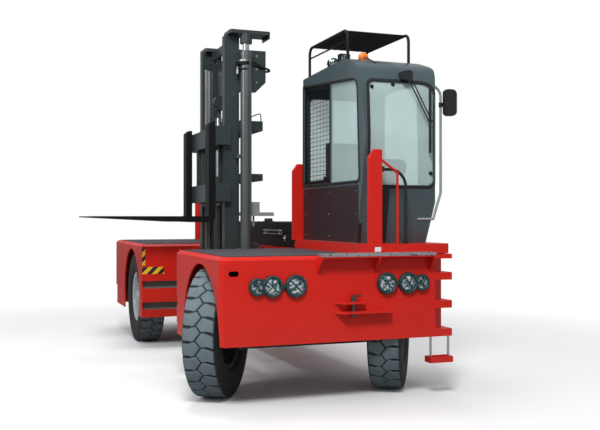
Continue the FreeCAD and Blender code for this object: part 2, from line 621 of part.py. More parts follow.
def rim(way):
    """A barrel with two flanges, a disc set in from the outer side, hand holes and a hub."""
    wide, wall = "rim_width / 2", "9"
    face = "rim_width / 2 - 62"
    barrel = spun([(f"-{wide}", f"rim_radius - {wall}"), (wide, f"rim_radius - {wall}"),
                   (f"{wide} + 12", "rim_radius + 10"), (f"{wide} + 12", "rim_radius + 18"),
                   (f"{wide}", "rim_radius + 12"), (wide, "rim_radius"), (f"-{wide}", "rim_radius"),
                   (f"-{wide}", "rim_radius + 12"), (f"-{wide} - 12", "rim_radius + 18"),
                   (f"-{wide} - 12", "rim_radius + 10")])
    sign = "" if way > 0 else "-"
    edge = f"{sign}({face})" if way > 0 else f"-({face}) - disc_thickness"
    disc = rod("X", edge, "0", "0", f"rim_radius - {wall} + 1", "disc_thickness")
    holes = []
    for index in range(8):
        turn = math.radians(45 * index + 22.5)
        holes.append(rod("X", f"{edge} - 5", f"205 * {math.cos(turn):.6f}", f"205 * {math.sin(turn):.6f}",
                         "30",
                         "disc_thickness + 10"))
    hub_edge = f"{face} - 30" if way > 0 else f"-({face}) - disc_thickness - 40"
    hub = rod("X", hub_edge, "0", "0", "hub_radius", "disc_thickness + 70")
    sleeve = rod("X", "-60", "0", "0", "hub_radius - 20", "120")
    bore_start = "-70" if way > 0 else "-(rim_width / 2 - 50)"
    bore = rod("X", bore_start, "0", "0", "stub_radius + running_clearance", "70 + rim_width / 2 - 50")
    return cut(join(cut(disc, *holes), barrel, hub, sleeve), bore)


# ---------------------------------------------------------------- mast

def channel(y, way, x, z, wall, width):
    """An upright C channel: its web on the outer side, open towards the middle of the mast."""
    outside, inside = (y, f"{y} + {width}"), (f"{y} + {wall}", f"{y} + {width} + 5")
    if way < 0:
        outside, inside = (f"{y} - {width}", y), (f"{y} - {width} - 5", f"{y} - {wall}")
    x_in = (f"{x[0]} + {wall}", f"{x[1]} - {wall}")
    return cut(box(x, outside, z), box(x_in, inside, (f"{z[0]} - 5", f"{z[1]} + 5")))


def both_ends(make):
    """The same piece made for the mast's front and rear upright, by its outer face and its way in."""
    span = "(mast_centre_y - mast_front_y)"
    return [make(f"(mast_centre_y - {span})", 1), make(f"(mast_centre_y + {span})", -1)]


def mast_base():
    """The travelling base: end plates with rollers in the guide channels and arms to the uprights."""
    solids = []
    for wall, way in (("well_front", 1), ("well_rear", -1)):
        near, far = f"{wall} + {way} * 12", f"{wall} + {way} * 36"
        y = (near, far) if way > 0 else (far, near)
        solids.append(box(("mast_face + 20", "side_inner - 60"), y, ("flank_bottom + 10", "860")))
        for low in ("guide_bottom", "low_guide_bottom"):
            for x in ("mast_face + 260", "side_inner - 100"):
                radius = "guide_opening / 2 - 0.4"
                start = f"{wall} - plate - guide_depth + guide_wall + 6" if way > 0 else far
                reach = "plate + guide_depth - guide_wall - 6 + 36"
                solids.append(rod("Y", x, start, f"{low} + guide_opening / 2", radius, reach))
        upright = "mast_front_y" if way > 0 else "2 * mast_centre_y - mast_front_y"
        y = (near, upright) if way > 0 else (upright, near)
        solids.append(box(("mast_back - 48", "mast_back - 8"), y, ("flank_bottom + 10", "860")))
    ends = ("well_front + 12", "well_rear - 12")
    for z in (("flank_bottom + 10", "flank_bottom + 130"), ("740", "860")):
        solids.append(box(("mast_back + 130", "mast_back + 170"), ends, z))
        solids.append(box(("side_inner - 140", "side_inner - 100"), ends, z))
    node("mast_base", join(*solids))


def outer_mast():
    """Two channel uprights, and the members that tie them together behind."""
    x = ("mast_face", "mast_back")
    solids = both_ends(lambda y, way: channel(y, way, x, ("mast_foot", "mast_top"), "mast_wall",
                                              "mast_width"))
    node("outer_mast", *solids)
    ends = ("mast_front_y", "2 * mast_centre_y - mast_front_y")
    near, far = (ends[0], f"{ends[0]} + 20"), (f"{ends[1]} - 20", ends[1])
    frames = []
    for low, high, back in (("1966", "2040", "63"), ("2500", "2604", "63"), ("1180", "1300", "20")):
        sides = [box(("mast_back", back), y, (low, high)) for y in (near, far)]
        frames.append(join(box(("mast_back", "mast_back + 22"), ends, (low, high)), *sides,
                           box((f"{back} - 20", back), ends, (low, high))))
    low, high, back = "mast_top - 590", "mast_top - 141", "crosshead_back - 15"
    gusset = [("mast_back", low), ("mast_back + 180", low), (back, f"{low} + 113"), (back, high),
              ("mast_back", high)]
    gussets = [outline("XZ", gusset, y, f"{y} + 16") for y in (ends[0], f"{ends[1]} - 16")]
    top = join(box(("mast_back", "mast_back + 22"), ends, (low, high)), *gussets)
    node("mast_cross_members", *frames, top)
    arm = box(("mast_back", "crosshead_back + 80"), ("mast_front_y + 6", "mast_front_y + 46"),
              ("1590", "1630"))
    block = box(("mast_back + 60", "mast_back + 230"), ("mast_front_y + 6", "mast_front_y + 130"),
                ("1630", "1740"))
    pipes = [rod("Z", f"mast_back + {x}", "mast_front_y + 70", "1480", "11", "155")
             for x in ("100", "140", "180")]
    node("valve_block", join(arm, block, *pipes))


def lift_cylinders():
    """The two long lift cylinders beside the uprights and their rods, which raise the inner mast."""
    tubes, rods = [], []
    for y, way in (("lift_tube_y", 1), ("2 * mast_centre_y - lift_tube_y", -1)):
        shell = tube("Z", "lift_tube_x", y, "lift_tube_foot", "lift_tube_radius",
                     "lift_rod_radius + running_clearance", "lift_tube_top - lift_tube_foot")
        foot = rod("Z", "lift_tube_x", y, "lift_tube_foot - 20", "lift_tube_radius", "22")
        collar = tube("Z", "lift_tube_x", y, "lift_tube_top - 60", "lift_tube_radius + 5",
                      "lift_tube_radius - 5", "40")
        shoe_y = (y, "mast_front_y") if way > 0 else ("2 * mast_centre_y - mast_front_y", y)
        shoes = [box(("mast_back - 45", "lift_tube_x + 20"), shoe_y, (z, f"{z} + 40"))
                 for z in ("900", "2200")]
        bore = rod("Z", "lift_tube_x", y, "lift_tube_foot", "lift_rod_radius + running_clearance", "3000")
        shoe = cut(join(shell, foot, collar, *shoes), bore)
        tubes.append(shoe)
        rods.append(rod("Z", "lift_tube_x", y, "lift_rod_foot", "lift_rod_radius",
                        "mast_top + 8 - lift_rod_foot"))
    node("lift_cylinders", *tubes)
    node("lift_rods", *rods)


def inner_mast():
    """The inner uprights that run inside the outer ones, their crosshead plates and tie beams."""
    x = ("mast_face + mast_wall + 6", "mast_back - mast_wall - 6")
    solids = []
    for y, way in (("mast_front_y + mast_wall + 6", 1), ("2 * mast_centre_y - mast_front_y - mast_wall - 6",
                                                         -1)):
        solids.append(channel(y, way, x, ("mast_foot + 20", "mast_top + 8"), "16", "mast_width + 16"))
    near = "mast_front_y + mast_width + 12"
    far = f"2 * mast_centre_y - ({near})"
    back = "mast_back + 22 + 8"
    for z in (("mast_top - 90", "mast_top + 8"), ("1720", "1800"), ("mast_foot + 84", "mast_foot + 164")):
        solids.append(box(("mast_back - mast_wall - 16", f"{back} - 38"), (near, far), z))
    for y, way in (("lift_tube_y", 1), ("2 * mast_centre_y - lift_tube_y", -1)):
        y0, y1 = ("lift_tube_y - 50", f"{near} + 20") if way > 0 else (f"{far} - 20",
                                                                       "2 * mast_centre_y - lift_tube_y + 50")
        corners = [("crosshead_front_x", y0), ("crosshead_back", y0), ("crosshead_back", y1),
                   ("crosshead_front_x", y1)]
        solids.append(outline("XY", corners, "mast_top + 8", "crosshead_top + 8", {0: "22", 1: "22"}))
        solids.append(box(("crosshead_back - 14", "crosshead_back"), (f"{y0} + 22", y1),
                          ("mast_top - 26", "mast_top + 12")))
        solids.append(tube("Z", "lift_tube_x", y, "mast_top - 90", "lift_tube_radius + 4",
                           "lift_rod_radius", "99"))
    well = box(("mast_back - 60", "ram_x + ram_tube_radius + 1"), ("mast_centre_y - 62",
                                                                   "mast_centre_y + 62"),
               ("mast_foot", "mast_top - 200"))
    node("inner_mast", cut(join(*solids), well))


def centre_ram():
    """The free-lift ram in the middle of the mast: its tube, and the plunger with the chain sheave."""
    y = "mast_centre_y"
    shell = tube("Z", "ram_x", y, "ram_tube_foot", "ram_tube_radius", "ram_radius + running_clearance",
                 "ram_tube_top - ram_tube_foot")
    base = rod("Z", "ram_x", y, "mast_foot + 60", "ram_tube_radius", "ram_tube_foot - mast_foot - 59")
    clamps = []
    for z in ("1700", "mast_foot + 64"):
        clamp = box(("ram_x", "mast_back - 8"), (f"{y} - 90", f"{y} + 90"), (f"{z}", f"{z} + 20"))
        clamps.append(clamp)
    bore = rod("Z", "ram_x", y, "ram_tube_foot", "ram_radius + running_clearance", "3000")
    node("centre_ram_tube", cut(join(shell, base, *clamps), bore))
    hoses = []
    for side in (-1, 1):
        hose_y, x, bend, top = f"{y} + {side} * 88", "ram_x - 12", "30", "ram_tube_top - 80"
        low = "mast_foot + 84"
        hoses.append(join(rod("Z", x, hose_y, low, "12", f"{top} - ({low})"),
                          elbow((x, f"{hose_y} - {side} * {bend}", top), "X", "0" if side > 0 else "90",
                                "90", bend, "12")))
    node("mast_hoses", *hoses)
    plunger = rod("Z", "ram_x", y, "ram_foot", "ram_radius", "ram_shoulder - ram_foot")
    half = "sheave_width / 2"
    low = "sheave_z - sheave_radius - 22"
    yoke = [box(("ram_x - 40", "ram_x + 40"), (f"{y} - {half} - 16", f"{y} + {half} + 16"),
                (low, f"{low} + 16"))]
    for side in (f"{y} - {half} - 16", f"{y} + {half} + 4"):
        yoke.append(box(("ram_x - 26", "ram_x + 26"), (side, f"{side} + 12"), (low, "sheave_z + 20")))
    axle = rod("Y", "ram_x", f"{y} - {half} - 24", "sheave_z", "14", "sheave_width + 48")
    wheel = rod("Y", "ram_x", f"{y} - {half}", "sheave_z", "sheave_radius", "sheave_width")
    stem = rod("Z", "ram_x", y, "ram_shoulder - 1", "ram_neck_radius",
               "sheave_z - sheave_radius - 10 - ram_shoulder")
    node("centre_ram", join(plunger, stem, *yoke, axle, wheel))


def fork_carriage():
    """Side plates with rollers in the inner mast, joined by cross bars and four tilting lugs."""
    solids = []
    inside = "mast_front_y + mast_wall + 6 + mast_width + 16 + 8"
    roller_x, lug_z = "(mast_face + mast_back) / 2", ("tilt_pin_z - 47", "tilt_pin_z + 47")
    for way in (1, -1):
        y0, y1 = inside, f"{inside} + 22"
        if way < 0:
            y0, y1 = f"2 * mast_centre_y - ({inside} + 22)", f"2 * mast_centre_y - ({inside})"
        solids.append(box(("mast_face - 6", "mast_back - 42"), (y0, y1), ("1700", "2600")))
        solids.append(box(("tilt_pin_x", "mast_face + 6"), (y0, y1), lug_z))
        rollers = "(mast_back - mast_face) / 2 - mast_wall - 6 - 16 - 0.4"
        for z in ("1780", "2520"):
            start = f"{inside} - 60" if way > 0 else f"2 * mast_centre_y - ({inside}) - 2"
            solids.append(rod("Y", roller_x, start, z, rollers, "62"))
    ends = (inside, f"2 * mast_centre_y - ({inside})")
    for z in (("1700", "1730"), ("2350", "2430")):
        solids.append(box(("mast_face - 6", "mast_face + 6"), ends, z))
    for y in ("mast_centre_y - 330", "mast_centre_y + 300"):
        solids.append(box(("mast_face - 6", "mast_face + 6"), (y, f"{y} + 30"), ("1700", "2430")))
        solids.append(box(("tilt_pin_x", "mast_face + 6"), (y, f"{y} + 30"), lug_z))
    solids.append(rod("Y", "tilt_pin_x", "mast_centre_y - bar_half_length", "tilt_pin_z", "tilt_pin_radius",
                      "2 * bar_half_length"))
    node("fork_carriage", join(*solids))


def fork_frame():
    """Two cross bars with end plates that carry the forks."""
    y = ("mast_centre_y - bar_half_length", "mast_centre_y + bar_half_length")
    x = ("fork_face + fork_thick", "fork_face + fork_thick + bar_thick")
    solids = [box(x, y, (low, high)) for low, high in (("low_bar_low", "low_bar_high"),
                                                       ("top_bar_low", "top_bar_high"))]
    for front in ("mast_centre_y - bar_half_length", "mast_centre_y + bar_half_length - 20"):
        for low, high in (("low_bar_low", "low_bar_high"), ("top_bar_low", "top_bar_high")):
            solids.append(box((x[0], "mast_face + 45"), (front, f"{front} + 20"), (low, high)))
    for y0 in ("mast_centre_y - 240", "mast_centre_y + 200"):
        solids.append(box(x, (y0, f"{y0} + 40"), ("low_bar_low", "top_bar_high")))
    pin = rod("Y", "tilt_pin_x", "mast_centre_y - bar_half_length - 5", "tilt_pin_z",
              "tilt_pin_radius + running_clearance", "2 * bar_half_length + 10")
    node("fork_frame", cut(join(*solids), pin))
    forks = []
    for way in (-1, 1):
        centre = f"mast_centre_y + {way} * fork_spread / 2"
        face, heel = "fork_face", "fork_top - fork_heel"
        corners = [("fork_tip", "fork_top - fork_tip_thick"), ("fork_tip", "fork_top"), (face, "fork_top"),
                   (face, "fork_shank_top - 30"), (f"{face} + 30", "fork_shank_top"),
                   (f"{face} + fork_thick", "fork_shank_top"), (f"{face} + fork_thick", heel),
                   (f"{face} - 200", heel)]
        forks.append(outline("XZ", corners, f"{centre} - fork_width / 2", f"{centre} + fork_width / 2",
                             {6: "fork_heel", 2: "18"}))
    node("forks", *forks)


def lift_chains():
    """Two leaf chains from the carriage up to the sheave."""
    x = "mast_face + 6"
    chains = [box((x, f"{x} + 11"), (f"mast_centre_y + {off}", f"mast_centre_y + {off} + 22"),
                  ("2400", "sheave_z"))
              for off in ("-26", "4")]
    node("lift_chains", *chains)


# ---------------------------------------------------------------- cab

def cab_form(inset):
    """The cab's whole outer form, or the same form drawn in by a wall."""
    low = "sill_top" if inset == "0" else f"sill_top + {inset}"
    profile = [("cab_rear - " + inset, low), ("cab_rear - " + inset, f"cab_roof - {inset}"),
               (f"cab_front + 380 + {inset} * 0.5", f"cab_roof + cab_crown - {inset}"),
               (f"cab_front + 130 + {inset}", f"cab_roof + cab_crown - 95 - {inset}"),
               (f"cab_front + 26 + {inset}", "window_top - 40"), (f"cab_front + {inset}", "2300"),
               (f"cab_front + 26 + {inset}", "window_sill"), (f"cab_front + 116 + {inset}", low)]
    side = outline("YZ", profile, f"cab_right + {inset}", f"cab_left - {inset}",
                   {2: "450", 3: "210", 4: "400", 5: "900", 6: "400"})
    corners = [(f"cab_right + {inset}", f"cab_front - 60 + {inset}"), (f"cab_left - {inset}",
                                                                       f"cab_front - 60 + {inset}"),
               (f"cab_left - {inset}", f"cab_rear - {inset}"), (f"cab_right + {inset}",
                                                                f"cab_rear - {inset}")]
    plan = outline("XY", corners, "sill_top - 20", "cab_roof + cab_crown + 20",
                   {0: "cab_corner + 30", 1: "cab_corner + 120", 2: "60", 3: "40"})
    front_view = [(f"cab_right + {inset}", low), (f"cab_left - cab_tuck - {inset}", low),
                  (f"cab_left - {inset}", "cab_waist"), (f"cab_left - {inset}",
                                                         f"cab_roof + cab_crown - {inset}"),
                  (f"cab_right + {inset}", f"cab_roof + cab_crown - {inset}")]
    across = outline("XZ", front_view, "cab_front - 10", "cab_rear + 10", {2: "600", 3: "cab_shoulder"})
    return common(common(side, plan), across)


def cab():
    """The driver's cab: frame, roof, panels and glass, cut from one hollow form."""
    hollow = cut(cab_form("0"), cab_form("cab_wall"))
    glazing = cut(cab_form("12"), cab_form("18"))
    across, along = ("cab_right - 50", "cab_left + 50"), ("cab_front - 50", "cab_rear + 50")
    roof_zone = box(across, along, ("cab_roof - 62", "cab_roof + 60"))
    side_window = [("side_glass_front", "glass_sill"), ("side_glass_rear", "glass_sill"),
                   ("side_glass_rear", "side_glass_top"), ("-345", "side_glass_low_top")]
    side_hole = outline("YZ", side_window, "cab_right - 20", "cab_right + 120", {0: "50", 3: "90"})
    left, right = "cab_left - 62", "cab_right + 78"
    windscreen = [(right, "window_sill"), (left, "window_sill"), (left, "window_top"),
                  (right, "window_top")]
    front_hole = outline("XZ", windscreen, "cab_front - 80", "cab_front + 260",
                         {0: "50", 1: "70", 2: "130", 3: "60"})
    back_window = [("cab_right + 80", "glass_sill"), ("cab_left - 80", "glass_sill"),
                   ("cab_left - 80", "back_glass_top"),
                   ("cab_right + 80", "back_glass_top")]
    rear_hole = outline("XZ", back_window, "cab_rear - 60", "cab_rear + 20",
                        {0: "50", 1: "50", 2: "70", 3: "50"})
    door_zone = [("door_front", "door_sill"), ("door_rear", "door_sill"), ("door_rear", "door_top"),
                 ("door_front + 60", "door_top")]
    door_cut = outline("YZ", door_zone, "cab_left - 175", "cab_left + 40")
    panel = (("cab_right - 20", "cab_right + cab_wall + 1"), ("-385", "985"), ("sill_top + 6", "1860"))
    divider = box(("cab_right + 6", "cab_right + 29"), ("divider_front", "divider_rear"), ("1895", "2885"))
    frame = cut(hollow, roof_zone, side_hole, front_hole, rear_hole, door_cut, box(*panel))
    node("cab_frame", join(frame, divider, *door_pins()))
    node("cab_roof", common(hollow, roof_zone))
    node("cab_side_panel", common(cut(hollow, divider), box(*panel)))
    panes = [common(glazing, hole) for hole in (front_hole, rear_hole)]
    half_window = box(("cab_right - 20", "cab_right + 120"), ("side_glass_front", "divider_front"),
                      ("glass_sill", "side_glass_top"))
    node("cab_glass", *panes, common(common(glazing, side_hole), half_window))
    x, y, z = ("cab_right + 12", "cab_right + 18"), ("divider_rear", "side_glass_rear"), ("glass_sill",
                                                                                          "2910")
    bars = [box(x, (f"{y[0]} + {i} * 38", f"{y[0]} + {i} * 38 + 4"), z) for i in range(1, 18)]
    bars += [box(("cab_right + 14", "cab_right + 17"), y, (f"{z[0]} + {i} * 42", f"{z[0]} + {i} * 42 + 4"))
             for i in range(1, 24)]
    edge = ("cab_right + 10", "cab_right + 22")
    bars += [box(edge, y, strip) for strip in (("glass_sill", "1945"), ("2822", "2910"))]
    bars += [box(edge, strip, z) for strip in (("divider_rear", "330"), ("945", "side_glass_rear"))]
    node("window_grille", common(join(*bars), side_hole))
    cab_door(hollow, glazing)


def cab_door(hollow, glazing):
    """The door in the cab's left side, hinged at its rear edge, with its pane."""
    gap = "6"
    zone = [(f"door_front + {gap}", f"door_sill + {gap}"), (f"door_rear - {gap}", f"door_sill + {gap}"),
            (f"door_rear - {gap}", f"door_top - {gap}"), (f"door_front + 60 + {gap}", f"door_top - {gap}")]
    leaf = common(hollow, outline("YZ", zone, "cab_left - 175", "cab_left + 40"))
    front, rear = "door_front + 90", "door_rear - 80"
    pane = [(front, "door_glass_sill"), (rear, "door_glass_sill"), (rear, "door_glass_top"),
            (f"{front} + 30", "door_glass_top")]
    window = outline("YZ", pane, "cab_left - 175", "cab_left + 40", {0: "50", 1: "50", 2: "60", 3: "90"})
    handle = join(rod("Y", "cab_left + 26", "door_front + 35", "1960", "9", "40"),
                  rod("Z", "cab_left + 26", "door_front + 40", "1860", "9", "110"),
                  rod("X", "cab_left - 12", "door_front + 40", "1870", "7", "38"),
                  rod("X", "cab_left - 12", "door_front + 40", "1955", "7", "38"))
    hinges = []
    for z in DOOR_HINGES:
        strap = box(("cab_left", "cab_left + 15"), ("door_rear - 70", "door_rear + 4"), (z, f"{z} + 60"))
        barrel = rod("Z", "cab_left + 15", "door_rear + 4", z, "12", "60")
        bore = rod("Z", "cab_left + 15", "door_rear + 4", f"{z} - 5", "6 + running_clearance", "70")
        hinges.append(cut(join(barrel, strap), bore))
    node("cab_door", join(cut(leaf, window), handle, *hinges))
    node("door_glass", common(glazing, window))


DOOR_HINGES = ("2000", "2600")


def door_pins():
    """The pins that the door's hinges turn on, each between two lugs on the cab's side."""
    pins = []
    for z in DOOR_HINGES:
        pins.append(rod("Z", "cab_left + 15", "door_rear + 4", f"{z} - 30", "6", "118"))
        for low, high in ((f"{z} - 30", f"{z} - 6"), (f"{z} + 66", f"{z} + 88")):
            pins.append(box(("cab_left - 10", "cab_left + 24"), ("door_rear - 4", "door_rear + 60"),
                            (low, high)))
    return pins


def roof_guard():
    """A bent tube frame over the roof, filled with close rods that stop falling pieces."""
    top, tube_radius, low = "guard_top - guard_tube", "guard_tube", "cab_roof - 90"
    bars = []
    for x in ("guard_right", "guard_left"):
        for y, way, first in (("guard_front", 1, "90"), ("guard_rear", -1, "0")):
            centre = (x, f"{y} + {way} * guard_bend", f"{top} - guard_bend")
            bars.append(elbow(centre, "X", first, "90", "guard_bend", tube_radius))
            bars.append(rod("Z", x, y, low, tube_radius, f"{top} - guard_bend - ({low})"))
        bars.append(rod("Y", x, "guard_front + guard_bend", top, tube_radius,
                        "guard_rear - guard_front - 2 * guard_bend"))
    count, width = 20, "guard_left - guard_right"
    start, pitch = "guard_front + guard_bend", f"(guard_rear - guard_front - 2 * guard_bend) / {count}"
    bars += [rod("X", "guard_right", f"{start} + {i} * {pitch}", top, "7", width) for i in range(count + 1)]
    bars += [rod("Y", f"guard_right + {i} * ({width}) / 5", start, f"{top} - 6", "5", f"{count} * {pitch}")
             for i in range(1, 5)]
    bars.append(rod("Y", "guard_right", "guard_front", f"{top} - 105", "8", "guard_rear - guard_front"))
    node("roof_guard", cut(join(*bars), cab_form("0")))


def cab_outside():
    """Beacon, lamps, hand rail, mirror and wiper: what is bolted on to the cab."""
    x, y = "600", "60"
    node("beacon", cut(join(rod("Z", x, y, "cab_roof", "58", "54"), rod("Z", x, y, "cab_roof + 53", "47",
                                                                        "30"),
                            ball(x, y, "cab_roof + 83", "47")), cab_form("0")))
    x, y = "guard_right + 50", "510"
    round_lamp = join(rod("Z", x, y, "cab_roof", "10", "55"), rod("Y", x, f"{y} - 40", "cab_roof + 95",
                                                                  "48", "66"))
    x, y = "guard_right + 125", "400"
    square_lamp = join(rod("Z", x, y, "cab_roof", "9", "80"),
                       box((f"{x} - 52", f"{x} + 52"), (f"{y} - 34", f"{y} + 34"),
                           ("cab_roof + 70", "cab_roof + 170")))
    node("work_lamps", cut(round_lamp, cab_form("0")), cut(square_lamp, cab_form("0")))
    grab_rail()
    wiper()


def grab_rail():
    """The bowed hand rail beside the door, and the mirror on its arm."""
    x, y, low, knee, high, bend = "cab_left + 40", "cab_front + 80", "1560", "1800", "2770", "100"
    foot = f"{x} - 78"
    upper = join(rod("Z", x, y, knee, "12", f"{high} - {bend} - {knee}"),
                 elbow((f"{x} - {bend}", y, f"{high} - {bend}"), "Y", "0", "90", bend, "12"),
                 rod("X", "cab_left - 150", y, high, "12", f"190 - {bend}"))
    lower = join(ball(x, y, knee, "12"), slant((foot, x), y, (low, knee), "12"), ball(foot, y, low, "12"),
                 rod("X", "cab_left - 200", y, low, "12", "162"))
    node("grab_rail", cut(join(upper, lower), cab_form("0")))
    right, left, foot, top = "mirror_left - 122", "mirror_left", "2486", "2724"
    face = [(right, foot), (left, foot), (left, top), (right, top)]
    head = outline("XZ", face, "cab_front - 66", "cab_front - 22", {0: "34", 1: "44", 2: "44", 3: "34"})
    arm = join(rod("Y", x, "cab_front - 30", "2600", "9", "110"), rod("X", x, "cab_front - 30", "2600", "9",
                                                                      "40"),
               rod("Z", x, y, "2580", "18", "40"))
    node("mirror", cut(join(head, arm), rod("Z", x, y, "2570", "12", "60")))


def wiper():
    """The wiper's motor on the brow of the cab, its two arms and the blade that they carry."""
    front = "cab_front - 40"
    motor = cut(join(box(("740", "820"), (front, "cab_front + 150"), ("2800", "2868")),
                     rod("Y", "780", front, "2834", "42", "100")), cab_form("0"))
    arms = [slant((x, f"{x} + 222"), f"{front} + 9", ("2834", "2430"), "6") for x in ("762", "794")]
    cross = rod("X", "976", f"{front} + 9", "2434", "8", "46")
    blade = box(("994", "1006"), (front, "cab_front - 9"), ("2150", "2750"))
    node("wiper", join(motor, *arms, cross, blade))


def cab_inside():
    """Seat, floor console and steering wheel."""
    seat = join(box(("seat_right", "seat_left"), ("300", "760"), ("1640", "1760")),
                box(("seat_right", "seat_left"), ("730", "850"), ("1700", "2330")),
                box(("580", "870"), ("340", "720"), ("sill_top + cab_wall", "1650")))
    node("driver_seat", seat)
    column = join(box(("640", "800"), ("-260", "-120"), ("sill_top + cab_wall", "2000")),
                  rod("Z", "column_x", "column_y", "1990", "22", "90"))
    hoop = doc.addObject("Part::Torus", "hoop")
    bind(hoop, Radius1="180", Radius2="14", Placement__Base__x="column_x", Placement__Base__y="column_y",
         Placement__Base__z="2085")
    spokes = [box(("545", "895"), ("-135", "-105"), ("2076", "2090")),
              box(("705", "735"), ("-295", "55"), ("2076", "2090"))]
    node("steering_column", join(column, hoop, *spokes))


# ---------------------------------------------------------------- engine bay

def engine_bay():
    """The engine block in the side frame, its hood, and the tank box behind it."""
    node("engine", box(("side_inner + 130", "flank_face - 130"), ("well_front + 350", "well_front + 1250"),
                       ("flank_bottom + plate", "1190")))
    low = "deck_top - deck_skin + 2"
    x, y = ("side_inner + 4", "flank_face - 10"), ("cab_rear + 100", "well_rear - 12")
    inner_x, inner_y = ("side_inner + 4 + hood_wall",
                        "flank_face - 10 - hood_wall"), ("cab_rear + 100 + hood_wall",
                                                         "well_rear - 12 - hood_wall")
    hood = cut(box(x, y, (low, "hood_top")), box(inner_x, inner_y, (f"{low} - 5", "hood_top - hood_wall")))
    straps = []
    for spot in HOOD_HINGES:
        barrel = join(rod("Y", HOOD_PIN_X, spot, HOOD_PIN_Z, "12", "60"),
                      box(("flank_face - 12", HOOD_PIN_X), (spot, f"{spot} + 60"),
                          (f"{HOOD_PIN_Z} + 2", f"{HOOD_PIN_Z} + 12")))
        straps.append(cut(barrel, rod("Y", HOOD_PIN_X, f"{spot} - 5", HOOD_PIN_Z, "6 + running_clearance",
                                      "70")))
    node("engine_hood", join(hood, *straps))
    y2 = ("well_rear + 6", "rear_end - 60")
    node("tank_cover", cut(box(x, y2, ("deck_top - deck_skin", "hood_top")),
                           box(inner_x, ("well_rear + 6 + hood_wall", "rear_end - 60 - hood_wall"),
                               ("deck_top - deck_skin - 5", "hood_top - hood_wall"))))


front_frame()
rear_frame()
side_frame()
guide_channels()
deck_skins()
front_ledge()
lamps()
tow_coupling()
hanging_step()
cab_sill()
stake_posts()
cab_hose()
axles()
knuckles()
tie_rod()
wheels()
mast_base()
outer_mast()
lift_cylinders()
inner_mast()
centre_ram()
fork_carriage()
fork_frame()
lift_chains()
cab()
roof_guard()
cab_outside()
cab_inside()
engine_bay()

doc.recompute()
broken = [thing.Name for thing in doc.Objects if {"Invalid", "Error"} & set(thing.State)]
broken += [part.Label for part in NODES if part.Shape.isNull() or not part.Shape.isValid()]
if broken:
    raise RuntimeError("failed objects: " + ", ".join(broken))
os.makedirs("parts", exist_ok=True)
for part in NODES:
    part.Shape.exportStep(f"parts/{part.Label}.step")
    print(part.Label, len(part.Shape.Solids), "solids", round(part.Shape.Volume / 1e6, 2), "litres")
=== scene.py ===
# %% [markdown]
# # Dressing a side loader forklift
# The truck's frame, cab, mast and wheels come as plain solids. This lesson gives them paint, rubber,
# glass and steel, and adds what is too fine for the solids: tread, bolts, seals, stripes and padding.
# Nearly every piece takes its place from the solids' own boxes or faces, so it still fits when the truck
# is redrawn.

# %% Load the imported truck
import json
import math

import bmesh
import bpy
from mathutils import Matrix, Vector


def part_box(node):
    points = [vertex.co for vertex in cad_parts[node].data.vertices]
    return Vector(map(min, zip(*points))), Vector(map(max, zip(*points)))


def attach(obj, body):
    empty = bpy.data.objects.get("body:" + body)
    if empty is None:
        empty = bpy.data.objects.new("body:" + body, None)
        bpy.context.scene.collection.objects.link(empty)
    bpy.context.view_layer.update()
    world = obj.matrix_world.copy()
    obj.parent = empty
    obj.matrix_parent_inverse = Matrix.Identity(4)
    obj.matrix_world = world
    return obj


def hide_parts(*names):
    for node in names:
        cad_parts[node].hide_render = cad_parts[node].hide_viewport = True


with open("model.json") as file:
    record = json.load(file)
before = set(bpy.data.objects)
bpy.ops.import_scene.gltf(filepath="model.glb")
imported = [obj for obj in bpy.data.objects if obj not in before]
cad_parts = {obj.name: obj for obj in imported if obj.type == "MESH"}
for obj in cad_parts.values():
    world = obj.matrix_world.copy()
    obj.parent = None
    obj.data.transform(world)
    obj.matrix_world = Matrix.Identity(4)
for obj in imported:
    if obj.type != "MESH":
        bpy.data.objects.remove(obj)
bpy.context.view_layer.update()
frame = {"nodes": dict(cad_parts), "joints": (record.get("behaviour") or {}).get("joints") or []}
joints = {joint["name"]: joint for joint in frame["joints"]}

# %% [markdown]
# ## Reading the truck's main places
# A solid's box says where the solid is. `low` and `high` give two opposite corners of that box in
# metres. A few planes are read from them once, so that later cells can speak of the deck or the well.

# %% Main places
def low(node):
    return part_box(node)[0]


def high(node):
    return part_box(node)[1]


right_x = low("rear_frame").x
well_front_y, well_rear_y = low("side_frame").y, high("side_frame").y
deck_z = high("deck_skins").z
sill_z = high("cab_sill").z
print("deck at", round(deck_z, 3), "m, well", round(well_rear_y - well_front_y, 3), "m long")

# %% [markdown]
# ## A workbench for finishes
# A finish is a small graph of nodes that ends in the Principled shader. The nodes could be set one by
# one in the Shader Editor. A class that adds and links them is quicker, because the truck needs some
# thirty finishes that share their steps. Every graph starts from the Object coordinate, so a pattern
# follows its solid in all three directions, needs no unwrapping and moves with the piece.

# %% Finish workbench
def shade(colour, factor):
    return tuple(min(1.0, channel * factor) for channel in colour) + (1.0,)


